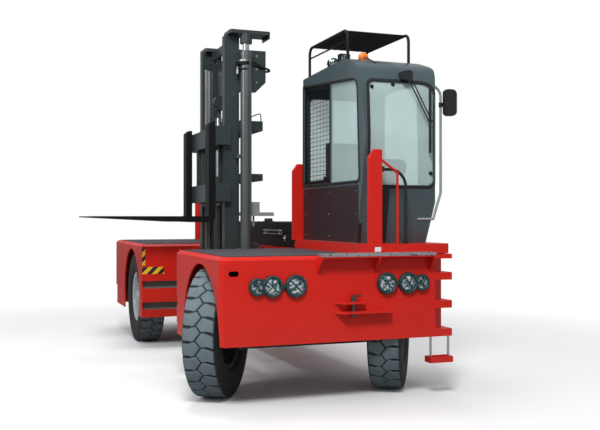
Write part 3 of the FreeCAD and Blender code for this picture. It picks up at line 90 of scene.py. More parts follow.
class Finish:
    """A material under construction: its nodes, its shader and the place on the surface."""

    def __init__(self, name):
        self.material = bpy.data.materials.new(name)
        self.material.use_nodes = True
        self.tree = self.material.node_tree
        self.shader = self.tree.nodes["Principled BSDF"]
        self.place = self.add("ShaderNodeTexCoord").outputs["Object"]

    def add(self, kind, **settings):
        node = self.tree.nodes.new(kind)
        for key, value in settings.items():
            setattr(node, key, value)
        return node

    def feed(self, source, target):
        self.tree.links.new(source, target)

    def noise(self, size, detail=3.0, stretch=None):
        texture = self.add("ShaderNodeTexNoise")
        texture.inputs["Scale"].default_value = size
        texture.inputs["Detail"].default_value = detail
        if stretch is None:
            self.feed(self.place, texture.inputs["Vector"])
        else:
            mapping = self.add("ShaderNodeMapping")
            mapping.inputs["Scale"].default_value = stretch
            self.feed(self.place, mapping.inputs["Vector"])
            self.feed(mapping.outputs["Vector"], texture.inputs["Vector"])
        return texture.outputs["Fac"]

    def remap(self, source, from_low, from_high, to_low, to_high):
        node = self.add("ShaderNodeMapRange")
        node.inputs["From Min"].default_value = from_low
        node.inputs["From Max"].default_value = from_high
        node.inputs["To Min"].default_value = to_low
        node.inputs["To Max"].default_value = to_high
        self.feed(source, node.inputs["Value"])
        return node.outputs["Result"]

    def blend(self, factor, first, second):
        node = self.add("ShaderNodeMix", data_type="RGBA")
        self.feed(factor, node.inputs["Factor"])
        for socket, value in ((node.inputs[6], first), (node.inputs[7], second)):
            if isinstance(value, tuple):
                socket.default_value = value
            else:
                self.feed(value, socket)
        return node.outputs[2]

    def maths(self, kind, first, second=None):
        node = self.add("ShaderNodeMath", operation=kind)
        for socket, value in zip(node.inputs, (first, second)):
            if value is None:
                continue
            if isinstance(value, (int, float)):
                socket.default_value = value
            else:
                self.feed(value, socket)
        return node.outputs[0]

    def axis(self, letter):
        split = self.add("ShaderNodeSeparateXYZ")
        self.feed(self.place, split.inputs["Vector"])
        return split.outputs[letter]

    def lift(self, height, strength, distance=0.001):
        bump = self.add("ShaderNodeBump")
        bump.inputs["Strength"].default_value = strength
        bump.inputs["Distance"].default_value = distance
        self.feed(height, bump.inputs["Height"])
        previous = self.shader.inputs["Normal"].links
        if previous:
            self.feed(previous[0].from_socket, bump.inputs["Normal"])
        self.feed(bump.outputs["Normal"], self.shader.inputs["Normal"])


print("workbench ready")

# %% [markdown]
# ## Worn paint, castings and plastic
# These differ in numbers more than in kind, so one recipe serves them all. A broad noise shifts the
# colour a little from place to place, a sharp noise chips it, dust gathers towards the ground, and a
# fine noise lifts the surface. Painted images could show more, but they would blur close up.

# %% Worn recipe
PATCH_SCALE = 2.2                    # broad colour patches, in waves to the metre
CHIP_SCALE = 38.0                    # chips in the paint, the same way
DUST_LOW, DUST_HIGH = 0.15, 0.95     # heights between which the dust thins out
DUST = (0.30, 0.27, 0.23, 1.0)
BARE = (0.16, 0.15, 0.14)            # what shows where the paint is gone


def worn(name, colour, rough, metal=0.0, patch=0.10, grain=0.15, grain_size=260.0, chips=0.0, dust=0.0,
         bare=BARE, coat=0.0, sheen=0.5):
    """Paint, casting or plastic that has been outdoors for a while."""
    make = Finish(name)
    broad = make.noise(PATCH_SCALE, 4.0)
    tint = make.blend(broad, shade(colour, 1 - patch), shade(colour, 1 + patch))
    if chips:
        edge = 0.70 - chips * 0.04
        nicks = make.remap(make.noise(CHIP_SCALE, 8.0), edge, edge + 0.03, 0.0, 1.0)
        tint = make.blend(nicks, tint, shade(bare, 1.0))
    if dust:
        near_ground = make.remap(make.axis("Z"), DUST_LOW, DUST_HIGH, dust, 0.0)
        film = make.maths("MULTIPLY", near_ground, make.noise(6.0, 5.0))
        tint = make.blend(film, tint, DUST)
    make.feed(tint, make.shader.inputs["Base Color"])
    make.feed(make.remap(broad, 0.2, 0.8, max(0.05, rough - 0.07), min(1.0, rough + 0.09)),
              make.shader.inputs["Roughness"])
    make.shader.inputs["Metallic"].default_value = metal
    make.shader.inputs["Coat Weight"].default_value = coat
    make.shader.inputs["Specular IOR Level"].default_value = sheen
    make.lift(make.noise(grain_size, 2.0), grain)
    return make.material


print("worn recipe ready")

# %% [markdown]
# ## The paints
# The hull is sprayed in a warm signal red. Cab and mast are dark grey-green, the guards and the hood
# black. Each paint keeps a slight orange-peel bump, which breaks a highlight up on real sprayed steel
# and stops it looking like plastic.

# %% Paints
RED = (0.64, 0.018, 0.010)
red = worn("hull_red", RED, 0.34, patch=0.05, grain=0.08, grain_size=140, dust=0.10, sheen=0.22)
cab_grey = worn("cab_grey", (0.058, 0.086, 0.094), 0.30, patch=0.08, grain=0.08, coat=0.25, sheen=0.4)
mast_grey = worn("mast_grey", (0.036, 0.049, 0.050), 0.34, patch=0.16, grain=0.22, chips=0.3, metal=0.2,
                 sheen=0.4)
panel_brown = worn("panel_brown", (0.034, 0.017, 0.020), 0.42, patch=0.10, grain=0.18, sheen=0.3)
black = worn("satin_black", (0.006, 0.006, 0.007), 0.5, patch=0.25, grain=0.20, chips=0.1, sheen=0.2)
channel_primer = worn("channel_primer", (0.22, 0.20, 0.19), 0.5, patch=0.15, chips=0.8, grain=0.3)
silver = worn("rim_silver", (0.56, 0.59, 0.61), 0.38, metal=0.35, patch=0.08, grain=0.15, dust=0.3)
rim_dark = worn("rim_dark", (0.014, 0.015, 0.017), 0.50, patch=0.2, grain=0.3, dust=0.3)
iron = worn("axle_iron", (0.010, 0.010, 0.011), 0.65, patch=0.3, grain=0.8, grain_size=90, dust=0.2,
            sheen=0.3)
rail_grey = worn("rail_grey", (0.30, 0.33, 0.34), 0.35, patch=0.06, grain=0.1, coat=0.3)
white_enamel = worn("white_enamel", (0.80, 0.81, 0.80), 0.4, patch=0.03, grain=0.05)
lamp_teal = worn("lamp_housing", (0.008, 0.045, 0.050), 0.42, patch=0.15, grain=0.3)
cylinder_paint = worn("cylinder_paint", (0.110, 0.125, 0.126), 0.27, metal=0.45, patch=0.10, grain=0.06,
                      coat=0.3)
print("paints ready")

# %% [markdown]
# ## Rubber and moulded plastic
# Seals, hoses and grips are rubber; the mirror's back, the seat's shell and the dash are moulded. Both
# are nearly black and dull, and differ from black paint by a fine leathery grain.

# %% Rubber and plastic
moulded = worn("moulded_plastic", (0.012, 0.012, 0.013), 0.55, patch=0.2, grain=0.5, grain_size=420)
seal = worn("rubber_seal", (0.008, 0.008, 0.009), 0.62, patch=0.2, grain=0.4, grain_size=500)
print("rubber and plastic ready")

# %% [markdown]
# ## Bright metals
# Bright metal shows how it was made: a drawn streak runs along forks and chains, and chromed rods are
# nearly mirror smooth. The streaks are a noise that is stretched hard along one axis. The alloy of the
# ledge is trodden instead of drawn, so it takes the worn recipe with many chips.

# %% Drawn metals
def drawn(name, colour, rough, stretch, streak=0.25):
    """Metal with fine streaks along one direction."""
    make = Finish(name)
    streaks = make.noise(60.0, 4.0, stretch)
    make.feed(make.blend(streaks, shade(colour, 0.82), shade(colour, 1.15)), make.shader.inputs["Base Color"])
    make.feed(make.remap(streaks, 0.2, 0.8, rough - 0.06, rough + 0.12), make.shader.inputs["Roughness"])
    make.shader.inputs["Metallic"].default_value = 1.0
    make.lift(streaks, streak)
    return make.material


fork_black = drawn("fork_steel", (0.020, 0.021, 0.023), 0.50, (1.0, 18.0, 18.0), 0.4)
chrome = drawn("rod_chrome", (0.60, 0.62, 0.64), 0.16, (30.0, 30.0, 1.0), 0.03)
chain_steel = drawn("chain_steel", (0.12, 0.115, 0.11), 0.42, (8.0, 8.0, 1.0))
zinc = drawn("zinc_bolts", (0.45, 0.45, 0.43), 0.38, (5.0, 5.0, 5.0))
worn_steel = drawn("worn_steel", (0.50, 0.52, 0.54), 0.36, (2.0, 20.0, 2.0), 0.3)
ledge_alloy = worn("ledge_alloy", (0.46, 0.46, 0.48), 0.36, metal=0.8, patch=0.3, grain=0.3, chips=2.6,
                   bare=(0.07, 0.06, 0.09))
print("metals ready")

# %% [markdown]
# ## Two finishes on one solid
# The middle ram is a chromed rod with a painted head, and the hanging step is a painted tray on bright
# rods. Cutting the solids would be needless work. The shader compares the height of each place with
# the height of the shoulder and takes one finish above it and the other below.

# %% Ram and step finishes
RAM_SHOULDER = 2.68       # the ram's chrome ends here, under its head
STEP_TRAY_TOP = 0.356     # the step's rods stand above this
CHROME = (0.60, 0.62, 0.64, 1.0)


def two_metals(name, colour, height, paint_above):
    """Chrome on one side of a height and paint on the other."""
    make = Finish(name)
    above = make.maths("GREATER_THAN", make.axis("Z"), height)
    painted = above if paint_above else make.maths("SUBTRACT", 1.0, above)
    tone = make.blend(make.noise(6.0, 4.0), shade(colour, 0.9), shade(colour, 1.1))
    make.feed(make.blend(painted, CHROME, tone), make.shader.inputs["Base Color"])
    make.feed(make.remap(painted, 0.0, 1.0, 1.0, 0.1), make.shader.inputs["Metallic"])
    make.feed(make.remap(painted, 0.0, 1.0, 0.16, 0.42), make.shader.inputs["Roughness"])
    make.lift(make.noise(180.0, 2.0), 0.08)
    return make.material


ram_finish = two_metals("ram_and_head", (0.026, 0.036, 0.037), RAM_SHOULDER, True)
step_finish = two_metals("step_and_rods", RED, STEP_TRAY_TOP, False)
print("ram changes at", RAM_SHOULDER, "m, step at", STEP_TRAY_TOP, "m")

# %% [markdown]
# ## Deck grit
# The decks carry a grit sheet, so that timber and boots don't slide. It is small hard specks under a
# near-black coat. Modelled specks would run to millions, so a cell pattern only bumps the surface.

# %% Grit
def grit():
    make = Finish("deck_grit")
    specks = make.add("ShaderNodeTexVoronoi", feature="F1")
    specks.inputs["Scale"].default_value = 260.0
    make.feed(make.place, specks.inputs["Vector"])
    scuffed = make.noise(3.0, 6.0)
    make.feed(make.blend(scuffed, (0.022, 0.020, 0.026, 1.0), (0.062, 0.056, 0.070, 1.0)),
              make.shader.inputs["Base Color"])
    make.feed(make.remap(scuffed, 0.2, 0.8, 0.55, 0.85), make.shader.inputs["Roughness"])
    make.lift(specks.outputs["Distance"], 0.9, 0.002)
    return make.material


deck_grit = grit()
print("grit ready")

# %% [markdown]
# ## Window glass
# Glass is mostly seen through, with a thin dusty film that catches the light. True refraction would
# need thick panes and many rays. A transparent shader is mixed with a smooth tinted one instead, and
# the film's noise decides how much of each is seen.

# %% Cab panes
def pane(name, colour, alpha, rough):
    """Tinted glass with a dusty film: what is behind stays visible through it."""
    make = Finish(name)
    film = make.noise(1.6, 3.0)
    make.feed(make.blend(film, shade(colour, 0.96), shade(colour, 1.04)), make.shader.inputs["Base Color"])
    make.feed(make.remap(film, 0.3, 0.7, rough, rough + 0.05), make.shader.inputs["Roughness"])
    make.lift(make.noise(30.0, 1.0), 0.004)
    clear = make.add("ShaderNodeBsdfTransparent")
    clear.inputs["Color"].default_value = (0.91, 0.97, 0.96, 1.0)
    mix = make.add("ShaderNodeMixShader")
    make.feed(make.remap(film, 0.3, 0.7, alpha - 0.03, alpha + 0.03), mix.inputs[0])
    make.feed(clear.outputs[0], mix.inputs[1])
    make.feed(make.shader.outputs[0], mix.inputs[2])
    make.feed(mix.outputs[0], make.tree.nodes["Material Output"].inputs["Surface"])
    return make.material


cab_pane = pane("cab_pane", (0.74, 0.90, 0.89), 0.38, 0.04)
print("glass ready")

# %% [markdown]
# ## Lamp glass and the beacon's dome
# A lamp's ribs and broken glints come from a mirror that is seen through fluted glass. Here a wave
# texture makes the flutes, and a hard noise paints the glints into the glass's colour as near-white
# painted highlights. The amber dome has finer ribs, and a weak glow of its own stands for the light that is
# caught in coloured plastic.

# %% Lens and dome
def banded(make, direction, waves):
    """Even ribs across one direction."""
    wave = make.add("ShaderNodeTexWave", wave_type="BANDS", bands_direction=direction)
    wave.inputs["Scale"].default_value = waves
    make.feed(make.place, wave.inputs["Vector"])
    return wave.outputs["Fac"]


def ribbed_lens():
    make = Finish("ribbed_lens")
    flutes = banded(make, "X", 34.0)
    # painted glints: near-white specks in the glass's colour stand in for highlights off the mirror
    painted_glint = make.remap(make.noise(42.0, 4.0), 0.44, 0.58, 0.0, 1.0)
    make.feed(make.blend(painted_glint, (0.06, 0.17, 0.18, 1.0), (0.95, 0.98, 1.0, 1.0)),
              make.shader.inputs["Base Color"])
    make.shader.inputs["Metallic"].default_value = 0.75
    make.shader.inputs["Roughness"].default_value = 0.16
    make.lift(flutes, 0.6, 0.002)
    return make.material


def amber():
    make = Finish("amber_dome")
    ribs = banded(make, "Z", 60.0)
    make.feed(make.blend(ribs, (0.75, 0.12, 0.01, 1.0), (1.0, 0.26, 0.02, 1.0)),
              make.shader.inputs["Base Color"])
    make.shader.inputs["Roughness"].default_value = 0.18
    make.shader.inputs["Emission Color"].default_value = (1.0, 0.25, 0.02, 1.0)
    make.shader.inputs["Emission Strength"].default_value = 0.12
    make.lift(ribs, 0.5, 0.002)
    return make.material


lens = ribbed_lens()
beacon_amber = amber()
print("lens and dome ready")

# %% [markdown]
# ## Painting the solids
# Each solid takes one finish in its material slot. The finishes could be dragged on by hand, but a
# table reads as a paint plan: red for the hull, grey for cab and mast, black for guards and covers.

# %% Paint plan
paint_plan = {
    red: ["front_frame", "rear_frame", "side_frame", "tow_coupling", "cab_sill", "stake_posts"],
    cab_grey: ["cab_frame", "cab_roof", "cab_door"],
    mast_grey: ["mast_base", "outer_mast", "mast_cross_members", "inner_mast", "centre_ram_tube",
                "fork_carriage", "fork_frame"],
    panel_brown: ["cab_side_panel"],
    black: ["window_grille", "roof_guard", "work_lamps", "engine_hood", "tank_cover"],
    channel_primer: ["guide_channels"],
    silver: ["rim_rear_right", "rim_rear_left"],
    rim_dark: ["rim_front_right", "rim_front_left"],
    iron: ["front_axle", "rear_axle", "knuckle_right", "knuckle_left", "engine"],
    rail_grey: ["grab_rail", "valve_block"],
    fork_black: ["forks"],
    chrome: ["lift_rods"],
    ram_finish: ["centre_ram"],
    step_finish: ["hanging_step"],
    chain_steel: ["lift_chains", "tow_pin", "tie_rod"],
    ledge_alloy: ["front_ledge"],
    cylinder_paint: ["lift_cylinders"],
    moulded: ["mirror", "wiper", "steering_column", "driver_seat"],
    seal: ["cab_hose", "mast_hoses"],
    lamp_teal: ["lamp_housings"],
    lens: ["lamp_lenses"],
    beacon_amber: ["beacon"],
    deck_grit: ["deck_skins"],
    cab_pane: ["cab_glass", "door_glass"],
}
for finish, names in paint_plan.items():
    for name in names:
        solid = frame["nodes"][name]
        solid.data.materials.clear()
        solid.data.materials.append(finish)
print("painted", sum(len(names) for names in paint_plan.values()), "solids")

# %% [markdown]
# ## Blocks, rods and bolts
# Small parts are wanted by the hundred, and an object for each would make the scene slow. So these
# makers only add their faces to a mesh under construction, and many parts share one mesh.

# %% Small parts
def turned_to(direction):
    """The turn that brings an upright part to point along a direction."""
    return Vector((0, 0, 1)).rotation_difference(Vector(direction).normalized()).to_matrix().to_4x4()


def add_block(bm, corner, opposite, turn=None):
    """A block between two corners, turned about its own middle when a turn is given."""
    corner, opposite = Vector(corner), Vector(opposite)
    middle, span = (corner + opposite) / 2, opposite - corner
    place = Matrix.Translation(middle) @ (turn or Matrix()) @ Matrix.Diagonal((*map(abs, span), 1))
    bmesh.ops.create_cube(bm, size=1, matrix=place)


def add_rod(bm, start, end, radius, sides=12, end_radius=None):
    """A round bar, or a cone when the end radius differs."""
    start, end = Vector(start), Vector(end)
    place = Matrix.Translation((start + end) / 2) @ turned_to(end - start)
    bmesh.ops.create_cone(bm, cap_ends=True, segments=sides, radius1=radius,
                          radius2=radius if end_radius is None else end_radius,
                          depth=(end - start).length, matrix=place)


def add_bolt(bm, spot, outward, size):
    """A washer, a hexagon head and the domed end of the bolt, standing on a face."""
    spot, outward = Vector(spot), Vector(outward).normalized()
    add_rod(bm, spot, spot + outward * size * 0.12, size * 1.15, 16)
    add_rod(bm, spot + outward * size * 0.12, spot + outward * size * 0.75, size * 0.92, 6, size * 0.84)
    add_rod(bm, spot + outward * size * 0.75, spot + outward * size * 1.0, size * 0.5, 10, size * 0.35)


def round_spot(middle, radius, turn, upright=False):
    """A place on a circle that lies level, or that stands facing the truck's front."""
    across, along = math.cos(turn), math.sin(turn)
    return middle + Vector((across, 0, along) if upright else (across, along, 0)) * radius


def add_ring(bm, middle, radius, thick, count, sides, upright=False, wanted=None):
    """A ring made of short bars; `wanted` picks the bars by the place where each one starts."""
    for step in range(count):
        start, end = (round_spot(middle, radius, 2 * math.pi * (step + k) / count, upright) for k in (0, 1))
        if wanted is None or wanted(start):
            add_rod(bm, start, end, thick, sides)


print("small parts ready")

# %% [markdown]
# ## From mesh to piece
# A finished mesh becomes an object, takes its finish and rides on the body that carries it. A bevel
# modifier softens plates, because no real edge is perfectly sharp, and hoses are curves with a round
# section, which stay smooth with few points.

# %% Finished pieces
def finished(bm, name, finish, body, bevel=0.0, smooth=40):
    """Turns a mesh under construction into a named piece that rides on a body."""
    mesh = bpy.data.meshes.new(name)
    bm.to_mesh(mesh)
    bm.free()
    mesh.materials.append(finish)
    mesh.shade_smooth()
    mesh.set_sharp_from_angle(angle=math.radians(smooth))
    obj = bpy.data.objects.new(name, mesh)
    bpy.context.collection.objects.link(obj)
    if bevel:
        soft = obj.modifiers.new("edge", "BEVEL")
        soft.width = bevel
        soft.segments = 2
        soft.limit_method = "ANGLE"
    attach(obj, body)
    return obj


def bolts(name, spots, outward, size, body="chassis"):
    bm = bmesh.new()
    for spot in spots:
        add_bolt(bm, spot, outward, size)
    print(name, len(spots))
    return finished(bm, name, zinc, body)


def bent_tube(name, points, radius, finish, body, closed=False):
    """A smooth tube through soft control points."""
    curve = bpy.data.curves.new(name, "CURVE")
    curve.dimensions = "3D"
    curve.bevel_depth = radius
    curve.bevel_resolution = 4
    curve.use_fill_caps = True
    spline = curve.splines.new("NURBS")
    spline.points.add(len(points) - 1)
    for point, place in zip(spline.points, points):
        point.co = (*place, 1)
    spline.order_u = 3
    spline.use_endpoint_u = not closed
    spline.use_cyclic_u = closed
    curve.materials.append(finish)
    obj = bpy.data.objects.new(name, curve)
    bpy.context.collection.objects.link(obj)
    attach(obj, body)
    return obj


print("pieces can be finished")

# %% [markdown]
# ## Feeling for a surface
# Seals, plates and knobs lie on faces that lean and bend. Their places could be measured by hand, but
# would be wrong after any change. So a ray is sent at the solid from outside, and the place where it
# lands is the place for the piece. Panes and lamps are told apart as the loose parts of their solid.

# %% Surfaces and loose parts
def landing(node, start, direction):
    """Where a ray from outside meets a solid."""
    solid = frame["nodes"][node]
    inward = solid.matrix_world.inverted()
    hit, place, _, _ = solid.ray_cast(inward @ Vector(start), inward.to_3x3() @ Vector(direction))
    return solid.matrix_world @ place if hit else None


def islands(node):
    """The boxes of a solid's loose parts, as pairs of low and high corners, sorted by their low corner."""
    solid = frame["nodes"][node]
    bm = bmesh.new()
    bm.from_mesh(solid.data)
    bmesh.ops.remove_doubles(bm, verts=bm.verts, dist=0.00002)
    waiting, boxes = set(bm.verts), []
    while waiting:
        front = [waiting.pop()]
        places = []
        while front:
            vert = front.pop()
            places.append(solid.matrix_world @ vert.co)
            fresh = [edge.other_vert(vert) for edge in vert.link_edges]
            fresh = [other for other in fresh if other in waiting]
            waiting.difference_update(fresh)
            front += fresh
        boxes.append((Vector((min(place[axis] for place in places) for axis in range(3))),
                      Vector((max(place[axis] for place in places) for axis in range(3)))))
    bm.free()
    return sorted(boxes, key=lambda box: [round(value, 3) for value in box[0]])


print("panes in the cab:", len(islands("cab_glass")))

# %% [markdown]
# ## Outlines and plates
# Windows, plates and links are flat shapes with soft corners. Each is drawn as four corners, rounded
# by short curves and then given a thickness. That needs fewer faces than a bevelled box.

# %% Outlines
def oblong(near, bottom, far, top):
    """The four corners of an upright or level oblong, in order round it."""
    return [(near, bottom), (far, bottom), (far, top), (near, top)]


def rounded(corners, radii, steps=7, straight=8):
    """A closed outline in a plane: soft corners, and points along the straight stretches."""
    points = []
    for index, corner in enumerate(corners):
        corner, after = Vector(corner), Vector(corners[(index + 1) % len(corners)])
        back = (Vector(corners[index - 1]) - corner).normalized() * radii[index]
        ahead = (after - corner).normalized() * radii[index]
        for step in range(steps + 1):
            share = step / steps
            points.append(corner + back * (1 - share) ** 2 + ahead * share ** 2)
        leave = after - (after - corner).normalized() * radii[(index + 1) % len(corners)]
        start = corner + ahead
        points += [start.lerp(leave, (step + 1) / (straight + 1)) for step in range(straight)]
    return points


def grown(corners, by):
    """The same outline moved outwards on every side."""
    middle = sum((Vector(corner) for corner in corners), Vector((0, 0))) / len(corners)
    return [Vector((corner[0] + math.copysign(by, corner[0] - middle.x),
                    corner[1] + math.copysign(by, corner[1] - middle.y))) for corner in corners]


def add_plate(bm, outline, axis, face, thick):
    """A flat plate with a given outline, standing on a face across one axis."""
    def spot(point, along):
        place = [point[0], point[1]]
        place.insert(axis, along)
        return bm.verts.new(place)

    bottom, top = ([spot(point, along) for point in outline] for along in (face, face + thick))
    bm.faces.new(bottom)
    bm.faces.new(top)
    for i in range(len(outline)):
        j = (i + 1) % len(outline)
        bm.faces.new((bottom[i], bottom[j], top[j], top[i]))
    bmesh.ops.recalc_face_normals(bm, faces=bm.faces)


print("outlines ready")

# %% [markdown]
# ## The cut of a yard tyre
# A yard tyre is hard-wearing: wide blocks parted by a zig-zag groove round the middle, with slots that
# run out over the shoulders. A boolean for each groove would be slow and leave slivers. Instead one
# formula says how deep the tread is cut at any place, and a grid of points sinks by it.

# %% Tread formula
SKIN = 0.0006                # keeps the tread within the plain tyre
tyre_radius = (high("tyre_rear_right").z - low("tyre_rear_right").z) / 2 - SKIN
tyre_half = (high("tyre_rear_right").x - low("tyre_rear_right").x) / 2 - SKIN
tread_half = tyre_half * 0.82
blocks_round = 28
groove_deep = 0.014
groove_wall = 0.005          # how far a groove's side leans out


def zigzag(turns):
    """A wave of straight strokes between -1 and 1."""
    return 4 * abs((turns % 1.0) - 0.5) - 1


def sink(turns, across):
    """How deep the tread is cut at a place round and across the tyre, from 0 to 1."""
    line = 0.19 * tread_half * zigzag(turns * blocks_round)
    depth = 1 - max(0.0, abs(across - line) * 0.75 - 0.003) / groove_wall
    peak = 0.0 if across > line else 0.5
    wander = 0.07 * math.sin(3.2 * across / tread_half) + 0.10 * abs(across) / tread_half
    step = (turns * blocks_round - peak + wander) % 1.0
    away = min(step, 1 - step) * 2 * math.pi * tyre_radius / blocks_round
    widen = 0.002 + 0.007 * min(1.0, max(0.0, (abs(across) / tread_half - 0.45) / 0.15))
    depth = max(depth, 1 - max(0.0, away - widen) / groove_wall)
    return max(0.0, min(1.0, depth))


print("tyre", round(2 * tyre_radius, 3), "m across,", blocks_round, "blocks round")

# %% [markdown]
# ## The tyre as one rolled grid
# Half of the tyre's outline is listed from the bead over the sidewall to the middle of the tread, and
# mirrored. The outline is then carried round the axle, as a lathe would, and each tread point sinks.
# A Screw modifier could turn the outline too, but it couldn't cut the blocks.

# %% Tyre mesh
bead_radius = (high("rim_rear_right").z - low("rim_rear_right").z) / 2 - 0.012
tread_points = 25            # points from the tread's edge to its middle
points_per_block = 20


def tyre_profile():
    """Half of the outline from the bead to the middle of the tread, as (across, radius, treaded)."""
    side = [(0.66, bead_radius), (0.70, bead_radius + 0.008), (0.78, bead_radius + 0.022),
            (0.90, bead_radius + 0.045), (0.965, bead_radius + 0.060), (0.97, bead_radius + 0.066),
            (0.985, bead_radius + 0.075), (1.0, bead_radius + 0.11), (0.995, bead_radius + 0.145),
            (0.985, tyre_radius - 0.085), (0.975, tyre_radius - 0.070)]
    points = [(-tyre_half * across, radius, 0) for across, radius in side]
    shoulder = [(0.965, 0.058), (0.95, 0.044), (0.93, 0.030), (0.905, 0.018), (0.87, 0.008)]
    points += [(-tyre_half * across, tyre_radius - drop, 1) for across, drop in shoulder]
    points += [(-tread_half + i * tread_half / tread_points,
                tyre_radius - 0.004 * (1 - i / tread_points) ** 2, 1) for i in range(tread_points + 1)]
    return points


def tyre_mesh():
    half = tyre_profile()
    whole = half + [(-across, radius, cut) for across, radius, cut in reversed(half[:-1])]
    around = blocks_round * points_per_block
    verts, faces = [], []
    for step in range(around):
        turns = step / around
        spin = (math.cos(turns * 2 * math.pi), math.sin(turns * 2 * math.pi))
        for across, radius, treaded in whole:
            cut = groove_deep * sink(turns, across) if treaded else 0.0
            verts.append((across, (radius - cut) * spin[0], (radius - cut) * spin[1]))
    width = len(whole)
    for step in range(around):
        first, after = step * width, ((step + 1) % around) * width
        faces += [(first + i, first + i + 1, after + i + 1, after + i) for i in range(width - 1)]
    mesh = bpy.data.meshes.new("tyre")
    mesh.from_pydata(verts, [], faces)
    mesh.shade_smooth()
    mesh.set_sharp_from_angle(angle=math.radians(38))
    return mesh


shared_tyre = tyre_mesh()
print("tyre faces:", len(shared_tyre.polygons))

# %% [markdown]
# ## Tyre rubber
# A used tyre is pale with dust on its blocks, and its grooves are painted near black as painted shade.
# The shader works out how far a place is from the axle and blends by that distance, so the colours follow the
# tread without a mask.

# %% Rubber
def tyre_rubber():
    make = Finish("tyre_rubber")
    across_y, across_z = make.axis("Y"), make.axis("Z")
    radius = make.maths("SQRT", make.maths("ADD", make.maths("MULTIPLY", across_y, across_y),
                                           make.maths("MULTIPLY", across_z, across_z)))
    # 0 at a groove's bottom, 1 on the blocks: the grooves get a near-black painted shade
    height = make.remap(radius, tyre_radius - groove_deep, tyre_radius - 0.003, 0.0, 1.0)
    dusty = make.blend(make.noise(9.0, 5.0), (0.095, 0.128, 0.144, 1.0), (0.160, 0.212, 0.236, 1.0))
    # near black in the grooves as painted shade, dusty rubber on the blocks
    make.feed(make.blend(height, (0.016, 0.017, 0.018, 1.0), dusty), make.shader.inputs["Base Color"])
    make.feed(make.remap(make.noise(20.0), 0.2, 0.8, 0.62, 0.85), make.shader.inputs["Roughness"])
    rings = make.maths("SINE", make.maths("MULTIPLY", radius, 620.0))
    make.lift(rings, 0.25, 0.001)
    make.lift(make.noise(300.0), 0.3, 0.001)
    return make.material


shared_tyre.materials.append(tyre_rubber())
print("tyre rubber ready")

# %% [markdown]
# ## Hanging the tyres on their axles
# Each rolling joint knows the wheel's middle and its axle direction, so the mesh is turned to that
# direction and set there. The outer face points away from the truck.

# %% Four wheels
def wheel_place(corner):
    joint = joints["roll_" + corner]
    outward = Vector(joint["axis"]) * (1 if corner.endswith("left") else -1)
    turn = Vector((1, 0, 0)).rotation_difference(outward).to_matrix().to_4x4()
    return Matrix.Translation(Vector(joint["pos_m"])) @ turn


corners = ("front_right", "front_left", "rear_right", "rear_left")
for corner in corners:
    tyre = bpy.data.objects.new("tyre_dressed_" + corner, shared_tyre)
    bpy.context.collection.objects.link(tyre)
    tyre.matrix_world = wheel_place(corner)
    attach(tyre, "wheel_" + corner)
    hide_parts("tyre_" + corner)
print("tyres hung:", len(corners))

# %% [markdown]
# ## Wheel nuts and hub caps
# Ten nuts hold each rim, on a circle outside the hub, and six small screws hold the domed cap that
# keeps dirt out of the bearing. They are made about the X axis, then moved to the wheel in one go.

# %% Nuts and caps
nut_circle, nut_size, nut_face = 0.147, 0.016, 0.064
screw_circle, screw_size, hub_face = 0.098, 0.008, 0.1042
cap_radius, cap_rise = 0.078, 0.022


def add_dome(bm, middle_x, radius, rise, sides=32, rings=6):
    """A shallow cap turned about X, its rim at middle_x."""
    previous = None
    for ring in range(rings):
        angle = ring / rings * math.pi / 2
        circle = [bm.verts.new((middle_x + rise * math.sin(angle), radius * math.cos(angle) * math.cos(turn),
                                radius * math.cos(angle) * math.sin(turn)))
                  for turn in (step * 2 * math.pi / sides for step in range(sides))]
        if previous:
            for i in range(sides):
                bm.faces.new((previous[i], previous[(i + 1) % sides], circle[(i + 1) % sides], circle[i]))
        previous = circle
    tip = bm.verts.new((middle_x + rise, 0, 0))
    for i in range(sides):
        bm.faces.new((previous[i], previous[(i + 1) % sides], tip))


def add_bolt_circle(bm, face, radius, count, size, offset=0.0):
    """Bolts on a circle about the X axis."""
    for step in range(count):
        angle = (step + offset) * 2 * math.pi / count
        add_bolt(bm, (face, radius * math.cos(angle), radius * math.sin(angle)), (1, 0, 0), size)


for corner in corners:
    body = "wheel_" + corner
    bm = bmesh.new()
    add_bolt_circle(bm, nut_face, nut_circle, 10, nut_size)
    add_bolt_circle(bm, hub_face, screw_circle, 6, screw_size, offset=0.5)
    bm.transform(wheel_place(corner))
    finished(bm, "wheel_nuts_" + corner, zinc, body)
    bm = bmesh.new()
    add_dome(bm, hub_face, cap_radius, cap_rise)
    bm.transform(wheel_place(corner))
    finished(bm, "hub_cap_" + corner, silver if "rear" in corner else rim_dark, body)
print("nuts and caps on", len(corners), "wheels")

# %% [markdown]
# ## Front lamps
# Each lamp has a guard of two crossed bars and a rim, and the two larger ones have a domed lens and
# three screws. The lamps are listed once, from the middle of the truck outwards, and mirrored. The
# outermost lamp stands behind its neighbour, so the part of its rim that is covered is left out.

# %% Lamps
lamp_x = (low("lamp_housings").x + high("lamp_housings").x) / 2
lamp_z = (low("lamp_housings").z + high("lamp_housings").z) / 2
lamp_front = low("lamp_housings").y
lamps = ((0.414, 0.070), (0.617, 0.067), (0.745, 0.052))     # place from the middle, radius of the glass
bar_radius, rim_radius = 0.0042, 0.0115
bar_forward = Vector((0, -0.0016, 0))


def add_bowl(bm, middle, radius, rise, sides=40, rings=7):
    """A glass dome that faces the front of the truck."""
    part = bmesh.new()
    add_dome(part, 0, radius, rise, sides, rings)
    part.transform(Matrix.Translation(middle) @ Matrix.Rotation(math.radians(-90), 4, "Z"))
    mesh = bpy.data.meshes.new("dome")
    part.to_mesh(mesh)
    part.free()
    bm.from_mesh(mesh)
    bpy.data.meshes.remove(mesh)


